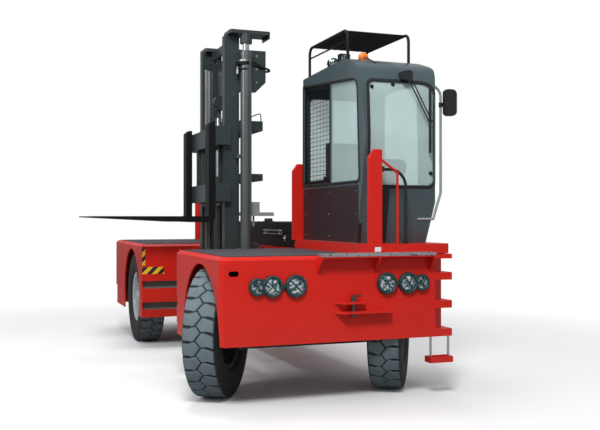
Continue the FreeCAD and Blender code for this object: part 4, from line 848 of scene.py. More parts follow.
guards, rims, domes, screws = bmesh.new(), bmesh.new(), bmesh.new(), bmesh.new()
for side in (-1, 1):
    for away, glass in lamps:
        middle = Vector((lamp_x + side * away, lamp_front, lamp_z))
        for lean in (45, 135):
            arm = round_spot(Vector(), glass + 0.006, math.radians(lean), upright=True)
            add_rod(guards, middle - arm + bar_forward, middle + arm + bar_forward, bar_radius, 10)
        outermost = away == lamps[-1][0]
        uncovered = (lambda spot: (spot - middle).x * side >= -glass * 0.62) if outermost else None
        add_ring(rims, middle, glass + 0.010, rim_radius, 48, 10, upright=True, wanted=uncovered)
        if not outermost:
            add_bowl(domes, middle + Vector((0, 0.0085, 0)), glass - 0.001, 0.007)
            for lean in (35, 155, 270):
                spot = round_spot(middle, glass + 0.017, math.radians(lean), upright=True)
                add_bolt(screws, spot - Vector((0, 0.006, 0)), (0, -1, 0), 0.0045)
finished(guards, "lamp_guards", lamp_teal, "chassis")
finished(rims, "lamp_rims", lamp_teal, "chassis")
finished(domes, "lamp_domes", lens, "chassis")
finished(screws, "lamp_screws", zinc, "chassis")
print("lamps:", 2 * len(lamps))

# %% [markdown]
# ## Chequered ledge
# The bright strip above the bumper has the usual pattern of raised lozenges, laid crosswise by turns.
# A bump texture would do from afar. Real blocks are used, as the strip is at the front edge and
# catches the light.

# %% Ledge pattern
lozenge_pitch, lozenge_margin = 0.026, 0.02
lozenge_low = Vector((0.010, 0.0028, 0.001))       # half its length, half its width, its root
lozenge_high = Vector((0.010, 0.0028, 0.0014))     # the same, and its rise

ledge_low, ledge_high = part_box("front_ledge")
rows = int((ledge_high.y - ledge_low.y - lozenge_margin) / lozenge_pitch)
columns = int((ledge_high.x - ledge_low.x - lozenge_margin) / lozenge_pitch)
bm = bmesh.new()
for row in range(rows):
    for column in range(columns):
        spot = Vector((ledge_low.x + lozenge_margin + column * lozenge_pitch,
                       ledge_low.y + lozenge_margin + row * lozenge_pitch, ledge_high.z))
        lean = Matrix.Rotation(math.radians(45 if (row + column) % 2 else -45), 4, "Z")
        add_block(bm, spot - lozenge_low, spot + lozenge_high, lean)
finished(bm, "ledge_lozenges", ledge_alloy, "chassis")
print("lozenges:", rows * columns)

# %% [markdown]
# ## Hazard stripes
# Yellow and black bands warn at the edges of the well, where the load swings past. Modelled bands
# would need many thin pieces. Here the finish makes them: the place along and up the strip is added,
# divided by the pitch and cut in two.

# %% Stripes
stripe_pitch = 0.125


def striped():
    make = Finish("hazard_stripes")
    along = make.maths("SUBTRACT", make.axis("Z"), make.axis("X"))
    phase = make.maths("FRACT", make.maths("DIVIDE", along, stripe_pitch))
    band = make.maths("GREATER_THAN", phase, 0.5)
    clean = make.blend(band, (0.012, 0.012, 0.012, 1.0), (0.88, 0.50, 0.02, 1.0))
    smear = make.remap(make.noise(30.0, 6.0), 0.55, 0.75, 0.0, 0.5)
    make.feed(make.blend(smear, clean, (0.10, 0.08, 0.06, 1.0)), make.shader.inputs["Base Color"])
    make.feed(make.remap(make.noise(8.0), 0.2, 0.8, 0.35, 0.55), make.shader.inputs["Roughness"])
    make.lift(make.noise(150.0), 0.15)
    return make.material


strip_start, strip_end = right_x + 0.004, right_x + 0.270
strip_bottom, strip_top = 0.895, 0.980
post_end, post_bottom, post_top = right_x + 0.042, 1.0, 1.20
strip_thick = 0.0018
bm = bmesh.new()
for wall_y, out in ((well_rear_y, -1), (well_front_y, 1)):
    outer_y = wall_y + out * strip_thick
    add_block(bm, (strip_start, wall_y, strip_bottom), (strip_end, outer_y, strip_top))
    add_block(bm, (strip_start, wall_y, post_bottom), (post_end, outer_y, post_top))
finished(bm, "hazard_strips", striped(), "chassis")
print("stripes on both walls of the well")

# %% [markdown]
# ## Seat cloth
# The cover is woven. Two sine waves that cross make the weave, far finer than any mesh could hold.

# %% Cloth
def cloth():
    make = Finish("seat_cloth")
    weave_x = make.maths("SINE", make.maths("MULTIPLY", make.axis("X"), 1900.0))
    weave_y = make.maths("SINE", make.maths("MULTIPLY", make.axis("Y"), 1900.0))
    weave = make.maths("MULTIPLY", weave_x, weave_y)
    make.feed(make.blend(make.noise(14.0, 5.0), (0.016, 0.017, 0.020, 1.0), (0.042, 0.044, 0.050, 1.0)),
              make.shader.inputs["Base Color"])
    make.shader.inputs["Roughness"].default_value = 0.9
    make.lift(weave, 0.5, 0.001)
    return make.material


seat_cloth = cloth()
print("cloth ready")

# %% [markdown]
# ## Seat cushions
# The driver's seat is padding over a base. A cushion could be sculpted, or blown up as cloth. Here a
# cube is subdivided, its face pushed up towards the middle and drawn in along the seams, which gives
# the same form each time the script runs.

# %% Cushions
def cushion(name, corner, opposite, crown_axis, seams=(0.2, 0.8)):
    """A crowned pad between two corners; seams are places across it, from 0 to 1."""
    corner, opposite = Vector(corner), Vector(opposite)
    span = opposite - corner
    bm = bmesh.new()
    bmesh.ops.create_cube(bm, size=1)
    bmesh.ops.subdivide_edges(bm, edges=bm.edges[:], cuts=15, use_grid_fill=True)
    flat = [axis for axis in range(3) if axis != crown_axis]
    for vert in bm.verts:
        place = vert.co.copy()
        inward = [1 - (2 * abs(place[axis])) ** 4 for axis in flat]
        fullness = max(0.0, inward[0]) * max(0.0, inward[1])
        pull = 1 - 0.10 * (2 * abs(place[crown_axis])) ** 2 * (1 - fullness)
        for axis in flat:
            vert.co[axis] = place[axis] * pull
        vert.co[crown_axis] = place[crown_axis] * (0.66 + 0.34 * fullness ** 0.5)
        for line in seams:
            near = abs(place[flat[0]] + 0.5 - line)
            vert.co[crown_axis] *= 1 - 0.10 * math.exp(-(near / 0.03) ** 2)
    for vert in bm.verts:
        vert.co = corner + Vector((span[i] * (vert.co[i] + 0.5) for i in range(3)))
    obj = finished(bm, name, seat_cloth, "chassis", smooth=80)
    soft = obj.modifiers.new("soft", "SUBSURF")
    soft.levels = soft.render_levels = 1
    return obj


seat_low, seat_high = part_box("driver_seat")
seat_z = seat_low.z + 0.26           # underside of the pad
rest_y = seat_low.y + 0.43           # front of the back rest
pad_end, pad_top, rest_bottom = rest_y + 0.03, seat_z + 0.12, seat_z + 0.06
cushion("seat_pad", (seat_low.x, seat_low.y, seat_z), (seat_high.x, pad_end, pad_top), 2)
cushion("seat_back", (seat_low.x, rest_y, rest_bottom), (seat_high.x, seat_high.y, seat_high.z), 1)
print("cushions padded")

# %% [markdown]
# ## Seat base
# Under the cushions a folded rubber gaiter hides the seat's springs. Six blocks, wide and narrow by
# turns, make its folds, and a plain foot carries it.

# %% Gaiter and foot
foot_high, fold_high, fold_count = 0.10, 0.026, 6
bm = bmesh.new()
for step in range(fold_count):
    inset = 0.012 * (step % 2)
    bottom = seat_low.z + foot_high + step * fold_high
    add_block(bm, (seat_low.x + 0.06 + inset, seat_low.y + 0.04 + inset, bottom),
              (seat_high.x - 0.06 - inset, rest_y - 0.02 - inset, bottom + fold_high))
add_block(bm, (seat_low.x + 0.05, seat_low.y + 0.03, seat_low.z),
          (seat_high.x - 0.05, rest_y, seat_low.z + foot_high))
seat_base = finished(bm, "seat_base", moulded, "chassis", bevel=0.006)
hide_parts("driver_seat")
print("seat base folds:", fold_count)

# %% [markdown]
# ## Window seals
# Each pane sits in a black rubber band. The band is built from rings of points that go round the
# opening at growing distances, each one landed on the cab's own face and lifted a little, so it
# follows the bent front and the door's inward lean. Where a ray falls through the opening, the place
# takes the depth of the outermost ring.

# %% Seal maker
SEAL_TOLERANCE = 0.025       # a landing further from the outermost ring's has missed the face


def window_band(name, node, axis, side, corners, radii, spread=0.030, body="chassis"):
    """A rubber band round a window, laid on the solid's face."""
    inward = Vector((0, 0, 0))
    inward[axis] = -side
    start = (high(node) if side > 0 else low(node))[axis] + side * 0.2
    steps = ((0.002, -0.006), (0.002, 0.003), (0.006, 0.006), (spread - 0.004, 0.006), (spread, 0.0))
    outlines = [rounded(grown(corners, growth), [radius + growth for radius in radii])
                for growth, rise in steps]

    def landed_at(point):
        spot = [point.x, point.y]
        spot.insert(axis, start)
        return landing(node, spot, inward), Vector(spot)

    rings = [[] for step in steps]
    for points in zip(*outlines):
        outer, spot = landed_at(points[-1])
        face = outer[axis] if outer is not None else start - side * 0.2
        for ring, point, (growth, rise) in zip(rings, points, steps):
            landed, spot = landed_at(point)
            if landed is None or abs(landed[axis] - face) > SEAL_TOLERANCE:
                landed = spot
                landed[axis] = face
            ring.append(landed - inward * rise)
    bm = bmesh.new()
    loops = [[bm.verts.new(place) for place in ring] for ring in rings]
    for first, after in zip(loops, loops[1:]):
        for i in range(len(first)):
            j = (i + 1) % len(first)
            bm.faces.new((first[i], first[j], after[j], after[i]))
    bmesh.ops.recalc_face_normals(bm, faces=bm.faces)
    return finished(bm, name, seal, body, smooth=30)


print("seal maker ready")

# %% [markdown]
# ## Four windows
# The windows are found as the loose parts of the glass by where they stand: furthest right, furthest
# to the front and furthest to the rear. Their corners are rounded by given radii.

# %% Seals
panes = islands("cab_glass")
side_low, side_high = min(panes, key=lambda pane: pane[0].x)
front_low, front_high = min(panes, key=lambda pane: pane[0].y)
rear_low, rear_high = max(panes, key=lambda pane: pane[1].y)
door_low, door_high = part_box("door_glass")
grille_low, grille_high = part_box("window_grille")
slim = 0.026                 # width of the bands on the side window and the door

window_band("side_window_seal", "cab_frame", 0, -1,
            [(side_low.y, side_low.z), (grille_high.y, side_low.z), (grille_high.y, grille_high.z),
             (side_low.y + 0.05, side_high.z - 0.05)], (0.05, 0.01, 0.01, 0.09), slim)
window_band("windscreen_seal", "cab_frame", 1, -1,
            oblong(front_low.x, front_low.z, front_high.x, front_high.z), (0.05, 0.07, 0.13, 0.06))
window_band("rear_window_seal", "cab_frame", 1, 1,
            oblong(rear_low.x, rear_low.z, rear_high.x, rear_high.z), (0.05, 0.05, 0.07, 0.05))
window_band("door_window_seal", "cab_door", 0, 1,
            [(door_low.y, door_low.z), (door_high.y, door_low.z), (door_high.y, door_high.z),
             (door_low.y + 0.03, door_high.z)], (0.05, 0.05, 0.06, 0.09), slim, "cab_door")
print("window bands laid: 4")

# %% [markdown]
# ## Rivets on the side panel
# The dark panel below the side window is held by rows of small domed rivets.

# %% Rivets
panel_low, panel_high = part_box("cab_side_panel")
edge_along, edge_up = 0.06, 0.05     # from the panel's edges to the first rivets
bm = bmesh.new()
for row in range(3):
    for column in range(3):
        y = panel_low.y + edge_along + column * (panel_high.y - panel_low.y - 2 * edge_along) / 2
        z = panel_low.z + edge_up + row * (panel_high.z - panel_low.z - 2 * edge_up) / 2
        spot = Vector((panel_low.x, y, z))
        add_rod(bm, spot, spot + Vector((-0.0028, 0, 0)), 0.0058, 12, 0.003)
finished(bm, "panel_rivets", zinc, "chassis")
print("rivets: 9")

# %% [markdown]
# ## Black sheet and its painted shadow
# A black rubber sheet covers the lower part of the cab's front, next to the corner post, and its black
# also stands in for the post's shadow there, as a painted shadow. Its rows of points are landed on the
# bent face, and its two edges are drawn down to the steel.

# %% Black sheet and its painted shadow
front_y = low("cab_frame").y - 0.2       # where the rays at the cab's front start
sheet_left, sheet_right = low("cab_frame").x + 0.12, low("cab_frame").x + 0.278
sheet_bottom, sheet_top = sill_z + 0.01, front_low.z - 0.035
sheet_thick, sheet_edge, sheet_rows = 0.003, 0.002, 8


def on_front(x, z):
    """The place on the cab's front face at a given width and height."""
    return landing("cab_frame", (x, front_y, z), (0, 1, 0))


across = ((sheet_left, 0.0), (sheet_left + sheet_edge, sheet_thick),
          (sheet_right - sheet_edge, sheet_thick), (sheet_right, 0.0))
levels = [sheet_bottom + i * (sheet_top - sheet_bottom) / sheet_rows for i in range(sheet_rows + 1)]
bm = bmesh.new()
grid = [[bm.verts.new(on_front(x, z) - Vector((0, lift, 0))) for x, lift in across] for z in levels]
for row, above in zip(grid, grid[1:]):
    for i in range(len(across) - 1):
        bm.faces.new((row[i], row[i + 1], above[i + 1], above[i]))
bmesh.ops.recalc_face_normals(bm, faces=bm.faces)
# a black rubber sheet whose black partly paints the corner post's shadow on the cab's front
finished(bm, "black_sheet_and_post_shadow", seal, "chassis", smooth=30)
print("dark sheet rows:", sheet_rows)

# %% [markdown]
# ## Windscreen knobs
# Four screwed knobs clamp the windscreen near its corners. Each is a wide washer with a narrower head,
# set where a ray meets the glass.

# %% Knobs
knob_places = ((front_low.x + 0.03, front_high.z - 0.05), (front_low.x + 0.24, front_high.z - 0.02),
               (front_high.x - 0.03, front_low.z + 0.11), (front_low.x + 0.03, front_low.z + 0.11))
bm = bmesh.new()
for x, z in knob_places:
    spot = landing("cab_glass", (x, front_y, z), (0, 1, 0))
    if spot is not None:
        washer_top = spot - Vector((0, 0.010, 0))
        add_rod(bm, spot, washer_top, 0.017, 20)
        add_rod(bm, washer_top, spot - Vector((0, 0.020, 0)), 0.011, 20, 0.009)
finished(bm, "pane_knobs", moulded, "chassis")
print("knobs:", len(knob_places))

# %% [markdown]
# ## Mirror glass
# The mirror's glass is on the side that the driver sees. It is a thin plate with soft corners in the
# chrome finish, which is close enough to silvered glass.

# %% Mirror
mirror_low, mirror_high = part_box("mirror")
glass_rim = 0.010                        # of the shell above and below the glass
bm = bmesh.new()
outline = oblong(mirror_high.x - 0.114, mirror_low.z + glass_rim,
                 mirror_high.x - 0.008, mirror_high.z - glass_rim)
add_plate(bm, rounded(outline, (0.030, 0.036, 0.036, 0.030), 6, 0), 1, mirror_low.y + 0.0442, 0.003)
finished(bm, "mirror_glass", chrome, "chassis")
print("mirror glass set")

# %% [markdown]
# ## Blank plate
# A small enamelled plate is fixed to the sill. It carries no words.

# %% Plate
plate_x, plate_z = low("cab_sill").x + 0.085, sill_z - 0.062
plate_wide, plate_high, plate_thick = 0.058, 0.038, 0.0012
bm = bmesh.new()
outline = rounded(oblong(plate_x, plate_z, plate_x + plate_wide, plate_z + plate_high), (0.004,) * 4, 3, 0)
add_plate(bm, outline, 1, low("cab_sill").y - plate_thick, plate_thick)
finished(bm, "blank_plate", white_enamel, "chassis")
print("blank plate fixed")

# %% [markdown]
# ## Work lamps
# The round lamp on the roof has a chromed ring and a domed, ribbed glass. The square one has a flat
# glass in its frame. The two are loose parts of one solid, the round one being further right.

# %% Work lamps
round_lamp, square_lamp = islands("work_lamps")
lamp_middle = Vector(((round_lamp[0].x + round_lamp[1].x) / 2, round_lamp[0].y, round_lamp[1].z - 0.048))
bm = bmesh.new()
add_ring(bm, lamp_middle, 0.045, 0.006, 40, 8, upright=True)
finished(bm, "round_lamp_ring", chrome, "chassis")

square_rim, square_glass, square_thick = 0.010, 0.080, 0.003
glass_top = square_lamp[1].z - square_rim
bm = bmesh.new()
add_bowl(bm, lamp_middle, 0.041, 0.010)
outline = oblong(square_lamp[0].x + square_rim, glass_top - square_glass,
                 square_lamp[1].x - square_rim, glass_top)
add_plate(bm, rounded(outline, (0.010,) * 4, 4, 0), 1, square_lamp[0].y - square_thick, square_thick)
finished(bm, "work_lamp_glass", lens, "chassis")
print("work lamps glazed")

# %% [markdown]
# ## Beacon ring
# The beacon's amber dome is clamped by a black ring.

# %% Beacon ring
beacon_low, beacon_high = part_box("beacon")
beacon_middle = (beacon_low + beacon_high) / 2
bm = bmesh.new()
add_ring(bm, Vector((beacon_middle.x, beacon_middle.y, beacon_high.z - 0.073)), 0.0525, 0.006, 48, 8)
finished(bm, "beacon_ring", black, "chassis")
print("beacon ring set")

# %% [markdown]
# ## Roof cable
# The beacon's cable runs forwards over the roof's front edge. It rises to the beacon at its start, and
# elsewhere it lies on the roof, where rays from above find its places.

# %% Cable
cable_places, cable_pitch, cable_radius = 9, 0.055, 0.0055
cable = []
for step in range(cable_places):
    y = beacon_middle.y - 0.06 - step * cable_pitch
    spot = landing("cab_roof", (beacon_middle.x - 0.03, y, beacon_high.z + 0.2), (0, 0, -1))
    if spot is not None:
        clear = 0.009 + 0.030 * max(0.0, 1 - step / 3)
        cable.append(spot + Vector((0, 0, clear)))
bent_tube("roof_cable", cable, cable_radius, seal, "chassis")
print("cable places:", len(cable))

# %% [markdown]
# ## Grille wires
# The rear half of the side window has a wire grille in place of glass. Round wires cross in a flat
# frame whose top edge rises towards the rear with the window. The solid grille is flat, so this finer
# one stands in for it.

# %% Grille
top_slope = 0.087                # rise of the frame's top edge, in metres to the metre
wire_radius, upright_pitch, level_pitch = 0.0022, 0.038, 0.042
tuck = 0.02                      # how far the wires' ends reach short of the frame's outline
wire_x = grille_low.x + 0.006


def grille_top(y):
    return grille_high.z - (grille_high.y - y) * top_slope


near_y, far_y, base_z = grille_low.y, grille_high.y, grille_low.z
bm = bmesh.new()
for wire in range(1, 18):
    y = near_y + 0.002 + wire * upright_pitch
    add_rod(bm, (wire_x, y, base_z + tuck), (wire_x, y, grille_top(y) - tuck), wire_radius, 8)
for wire in range(1, 21):
    z = base_z + 0.002 + wire * level_pitch
    add_rod(bm, (wire_x + 0.003, near_y + tuck, z), (wire_x + 0.003, far_y - tuck, z), wire_radius, 8)
sill_strip = oblong(near_y, base_z, far_y, base_z + 0.035)
top_strip = [(near_y, grille_top(near_y) - 0.04), (far_y, grille_top(far_y) - 0.04),
             (far_y, grille_top(far_y)), (near_y, grille_top(near_y))]
near_strip = oblong(near_y, base_z, near_y + 0.034, grille_top(near_y) - tuck)
far_strip = oblong(far_y - 0.028, base_z, far_y, grille_top(far_y) - tuck)
for strip in (sill_strip, top_strip, near_strip, far_strip):
    add_plate(bm, rounded(strip, (0.003,) * 4, 2, 0), 0, grille_low.x + 0.0015, 0.0105)
wires = finished(bm, "grille_wires", black, "chassis")
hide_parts("window_grille")
print("grille wired")

# %% [markdown]
# ## Leaf chains
# The lift chain is made of steel leaves on pins, three abreast and two abreast by turns. One strand is
# a loop over its links, and both strands share a mesh that stands in for the two plain bars.

# %% Chain links
link_pitch, link_half, leaf_thick = 0.0254, 0.0055, 0.0036
end_over = 0.0065                # how far a leaf reaches beyond its pins
pin_radius, pin_half = 0.003, 0.011
bm = bmesh.new()
for strand_low, strand_high in islands("lift_chains"):
    middle_x = (strand_low.x + strand_high.x) / 2
    middle_y = (strand_low.y + strand_high.y) / 2
    count = int((strand_high.z - strand_low.z - 0.014) / link_pitch)
    for link in range(count):
        base = strand_low.z + 0.007 + link * link_pitch
        leaf_corners = oblong(middle_x - link_half, base - end_over,
                              middle_x + link_half, base + link_pitch + end_over)
        leaf = rounded(leaf_corners, (0.005,) * 4, 3, 0)
        for offset in ((-0.0090, 0.0, 0.0090) if link % 2 else (-0.0045, 0.0045)):
            add_plate(bm, leaf, 1, middle_y + offset - leaf_thick / 2, leaf_thick)
        add_rod(bm, (middle_x, middle_y - pin_half, base), (middle_x, middle_y + pin_half, base),
                pin_radius, 10)
    print("links in a strand:", count)
links = finished(bm, "chain_links", chain_steel, "carriage", smooth=30)
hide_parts("lift_chains")

# %% [markdown]
# ## Hose and guard rod on the mast
# A hose swings from the cylinder's collar round the end of the gusset, and a thin rod guards the upper
# tie. Both are soft curves through a few given points, as a fitter would lay them.

# %% Mast hose and rod
lift_tubes = islands("lift_cylinders")
near_tube = min(lift_tubes, key=lambda box: box[0].y)
ties_low, ties_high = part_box("mast_cross_members")
collar = Vector(((near_tube[0].x + near_tube[1].x) / 2, ties_low.y, near_tube[1].z))
bend = Vector((ties_high.x, ties_low.y, near_tube[1].z))
hose_route = [collar + Vector((0.050, -0.060, -0.100)), collar + Vector((0.120, -0.045, -0.105)),
              bend + Vector((-0.060, -0.030, -0.150)), bend + Vector((0.050, -0.005, -0.175)),
              bend + Vector((0.045, 0.060, -0.185)), bend + Vector((-0.050, 0.050, -0.180)),
              bend + Vector((-0.120, 0.036, -0.180))]
bent_tube("gusset_hose", hose_route, 0.012, seal, "mast")

foot = Vector((ties_low.x, ties_low.y + 0.010, high("outer_mast").z - 0.893))
guard_route = [foot + Vector((0.030, 0, -0.004)), foot + Vector((0.160, 0, 0.055)),
               foot + Vector((0.235, 0, 0.085)), foot + Vector((0.245, 0, 0.060)),
               foot + Vector((0.245, 0, -0.004))]
bent_tube("tie_guard_rod", guard_route, 0.006, mast_grey, "mast")
print("hose and guard rod laid")

# %% [markdown]
# ## Collars on the lift cylinders
# Each lift cylinder ends in a screwed gland and is held by a clamp, with a hose fitting beside it. All
# of them hang at set depths below the tube's top, so they are written as depths.

# %% Collars
tube_radius = 0.060


def below(top, depth, x=0.0, y=0.0):
    """A place at a depth below the tube's top."""
    return top + Vector((x, y, -depth))


bm, fittings = bmesh.new(), bmesh.new()
for tube_low, tube_high in lift_tubes:
    top = (tube_low + tube_high) / 2
    top.z = tube_high.z
    add_rod(bm, below(top, 0.150), below(top, 0.118), tube_radius + 0.011, 36)
    add_rod(bm, below(top, 0.205), below(top, 0.190), tube_radius + 0.006, 36)
    add_block(bm, below(top, 0.152, -0.088, -0.020), below(top, 0.116, -0.055, 0.020))
    add_rod(fittings, below(top, 0.170, -0.074), below(top, 0.210, -0.074), 0.012, 6)
    add_rod(fittings, below(top, 0.205, -0.074), below(top, 0.245, -0.074), 0.016, 16)
    add_rod(fittings, below(top, 0.116), below(top, 0.098), tube_radius + 0.004, 36)
    for step in range(6):
        spot = round_spot(below(top, 0.1175), tube_radius + 0.006, step * math.pi / 3)
        add_bolt(fittings, spot, (0, 0, 1), 0.006)
finished(bm, "cylinder_clamps", black, "mast", bevel=0.0015)
finished(fittings, "cylinder_fittings", zinc, "mast")
print("collars on", len(lift_tubes), "cylinders")

# %% [markdown]
# ## Worn tracks
# Inside the uprights the rollers have worn the paint off, so two bright tracks run up each web. Paint
# wear could be a mask in the shader, but a strip of steel as thin as a sheet of card is simpler and
# keeps a clean edge.

# %% Tracks
track_wide, track_thick = 0.030, 0.0008
web_x = (low("outer_mast").x + high("outer_mast").x) / 2
web_y = (low("inner_mast").y + high("inner_mast").y) / 2
track_bottom, track_top = low("inner_mast").z + 0.03, high("inner_mast").z - 0.25
probe_heights = (1.35, 2.25, 3.10)       # between the cross members
bm = bmesh.new()
for way in (-1, 1):
    for x in (web_x - 0.052, web_x):
        landed = [landing("inner_mast", (x, web_y, z), (0, way, 0)) for z in probe_heights]
        landed = [spot for spot in landed if spot is not None]
        if len(landed) < 2:
            continue
        face = max(way * spot.y for spot in landed) * way
        start = min(face, face - way * track_thick)
        add_block(bm, (x, start, track_bottom), (x + track_wide, start + track_thick, track_top))
finished(bm, "worn_tracks", worn_steel, "inner_mast")
print("tracks from", round(track_bottom, 2), "to", round(track_top, 2), "m")

# %% [markdown]
# ## Hood louvres
# Louvres let the engine's heat out. Each one is a lip pressed out of the sheet. Cutting the sheet would
# be truer, but a slanted blade that stands on it catches the light in the same way.

# %% Louvres
hood_low, hood_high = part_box("engine_hood")
bank_pitch, blade_pitch, blade_wide = 0.55, 0.042, 0.030
blade_tilt = Matrix.Rotation(math.radians(-28), 4, "X")
bm = bmesh.new()
for bank in range(3):
    for blade in range(9):
        y = hood_low.y + 0.25 + bank * bank_pitch + blade * blade_pitch
        add_block(bm, (hood_low.x + 0.14, y, hood_high.z - 0.002),
                  (hood_high.x - 0.20, y + blade_wide, hood_high.z + 0.001), blade_tilt)
finished(bm, "hood_louvres", black, "engine_hood", bevel=0.001)
print("louvres: 27")

# %% [markdown]
# ## Hood bars and latches
# Two round bars on brackets serve as the hood's handle, and two latches hold it down. They face the
# well, because the hood opens from there.

# %% Bars and latches
bar_x, bar_z, bar_drop = hood_low.x - 0.030, hood_high.z - 0.090, 0.036
bar_start, bar_end = hood_low.y + 0.35, hood_low.y + 0.95
bracket_half = 0.012
bm = bmesh.new()
for z in (bar_z, bar_z - bar_drop):
    add_rod(bm, (bar_x, bar_start, z), (bar_x, bar_end, z), 0.008, 14)
for y in (bar_start + 0.05, bar_end - 0.05):
    add_block(bm, (bar_x - 0.006, y - bracket_half, bar_z - 0.046),
              (hood_low.x + 0.001, y + bracket_half, bar_z + 0.010))
finished(bm, "hood_bars", zinc, "engine_hood", bevel=0.0015)

latch_face, latch_z, latch_half = hood_low.x - 0.006, hood_high.z - 0.17, 0.03
bm = bmesh.new()
for y in (hood_low.y + 0.30, hood_high.y - 0.30):
    add_block(bm, (latch_face, y - latch_half, latch_z - latch_half),
              (hood_low.x, y + latch_half, latch_z + latch_half))
    add_rod(bm, (latch_face, y, latch_z), (latch_face - 0.010, y, latch_z), 0.016, 20, 0.012)
finished(bm, "hood_latches", zinc, "engine_hood", bevel=0.0015)
print("bars and latches set")

# %% [markdown]
# ## Filler cap
# The tank's cap has a wide washer, a tapered body and twelve ridges for the hand.

# %% Filler cap
cover_low, cover_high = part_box("tank_cover")
cap = Vector(((cover_low.x + cover_high.x) / 2 + 0.12, cover_low.y + 0.35, cover_high.z))
washer_high, cap_high, ridge_count = 0.012, 0.045, 12
bm = bmesh.new()
add_rod(bm, cap, cap + Vector((0, 0, washer_high)), 0.070, 40)
add_rod(bm, cap + Vector((0, 0, washer_high)), cap + Vector((0, 0, cap_high)), 0.052, 40, 0.048)
for step in range(ridge_count):
    ridge = round_spot(cap, 0.050, step * 2 * math.pi / ridge_count) + Vector((0, 0, 0.016))
    add_rod(bm, ridge, ridge + Vector((0, 0, 0.026)), 0.004, 8)
finished(bm, "filler_cap", moulded, "chassis", bevel=0.001)
print("cap ridges:", ridge_count)

# %% [markdown]
# ## Cover ribs
# Flat ribs are pressed into the tank cover, so that it doesn't drum. Each is a low block.

# %% Cover ribs
rib_wide, rib_rise, rib_pitch = 0.035, 0.004, 0.42
bm = bmesh.new()
for step in range(4):
    y = cover_low.y + 0.55 + step * rib_pitch
    add_block(bm, (cover_low.x + 0.10, y, cover_high.z),
              (cover_high.x - 0.10, y + rib_wide, cover_high.z + rib_rise))
finished(bm, "cover_ribs", black, "chassis", bevel=0.0015)
print("cover ribs: 4")

# %% [markdown]
# ## Steering wheel's grip
# Yard trucks are steered with one hand, by a knob on the rim. The rubber grip is a ring of short bars,
# sixty of them, which reads as round from any side.

# %% Wheel grip
column_low, column_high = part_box("steering_column")
wheel = (column_low + column_high) / 2
wheel.z = column_high.z - 0.014
knob = wheel + Vector((-0.13, -0.125, 0))
bm = bmesh.new()
add_ring(bm, wheel, 0.180, 0.0165, 60, 10)
add_rod(bm, wheel - Vector((0, 0, 0.03)), wheel + Vector((0, 0, 0.012)), 0.045, 28, 0.036)
add_rod(bm, knob, knob + Vector((0, 0, 0.055)), 0.018, 18, 0.022)
finished(bm, "wheel_grip", seal, "chassis")
print("steering wheel at height", round(wheel.z, 2), "m")

# %% [markdown]
# ## Dash pod and arm console
# A slanted pod below the wheel carries the dials, which are left blank, and a narrow console stands by
# the seat. Both are moulded, so their edges get a wide bevel.

# %% Pod and console
pod_low = wheel + Vector((-0.14, -0.20, -0.115))
pod_high = wheel + Vector((0.14, -0.13, -0.015))
console = seat_low + Vector((-0.075, 0.02, 0.60))        # front of the console's top, above its middle
bm = bmesh.new()
add_block(bm, pod_low, pod_high, Matrix.Rotation(math.radians(25), 4, "X"))
add_block(bm, console - Vector((0.03, 0, 0.60)), console + Vector((0.04, 0.30, 0)))
finished(bm, "dash_pod", moulded, "chassis", bevel=0.012)
print("pod and console set")

# %% [markdown]
# ## Levers and pedals
# Three levers on the console work the mast and the forks. Each is a thin rod with a tapered knob. The
# two pedals are slanted plates on short stems.

# %% Levers and pedals
lever_pitch, pedal_wide = 0.075, 0.08
bm = bmesh.new()
for step in range(3):
    root = console + Vector((0.005, 0.05 + step * lever_pitch, 0))
    add_rod(bm, root, root + Vector((0, -0.012, 0.11)), 0.005, 10)
    add_rod(bm, root + Vector((0, -0.012, 0.10)), root + Vector((0, -0.014, 0.145)), 0.013, 16, 0.016)
pedal_tilt = Matrix.Rotation(math.radians(-28), 4, "X")
for x in (wheel.x - 0.10, wheel.x + 0.16):
    stem = Vector((x + pedal_wide / 2, wheel.y - 0.13, sill_z))
    add_block(bm, (x, wheel.y - 0.21, sill_z + 0.075),
              (x + pedal_wide, wheel.y - 0.05, sill_z + 0.090), pedal_tilt)
    add_rod(bm, stem + Vector((0, 0, 0.034)), stem + Vector((0, 0, 0.080)), 0.008, 10)
finished(bm, "levers_and_pedals", black, "chassis", bevel=0.001)
print("three levers and two pedals set")

# %% [markdown]
# ## Tow clip
# The tow pin is kept from jumping out by a ring clip under the lower plate, which hangs a little long.

# %% Clip
pin_low = low("tow_pin")
clip_points = 14
clip = []
for step in range(clip_points):
    angle = step * 2 * math.pi / clip_points
    clip.append((pin_low.x + 0.030 + 0.022 * math.cos(angle), pin_low.y + 0.020,
                 pin_low.z - 0.026 + 0.034 * math.sin(angle)))
bent_tube("tow_clip", clip, 0.0025, red, "chassis", closed=True)
print("clip hung")

# %% [markdown]
# ## Grip studs on the step
# The step's tread plate is punched with rows of studs, so that a wet boot holds. A ray from above finds
# the plate under each stud.

# %% Studs
step_low, step_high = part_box("hanging_step")
stud_rows, stud_columns, stud_margin = 3, 8, 0.03
row_pitch = 0.045
column_pitch = (step_high.x - step_low.x - 2 * stud_margin) / (stud_columns - 1)
bm = bmesh.new()
for row in range(stud_rows):
    for column in range(stud_columns):
        x = step_low.x + stud_margin + column * column_pitch
        y = step_low.y + stud_margin + row * row_pitch
        spot = landing("hanging_step", (x, y, step_low.z + 0.20), (0, 0, -1))
        if spot is not None:
            add_rod(bm, spot, spot + Vector((0, 0, 0.003)), 0.007, 12, 0.004)
finished(bm, "step_studs", red, "chassis")
print("stud places:", stud_rows * stud_columns)

# %% [markdown]
# ## Bolts on carriage, gusset and deck
# Bolt heads mark where parts meet. Their places are laid out from the solids' boxes. On the carriage and
# the gusset a ray then drops those that would hang in the air, where the steel is cut out.

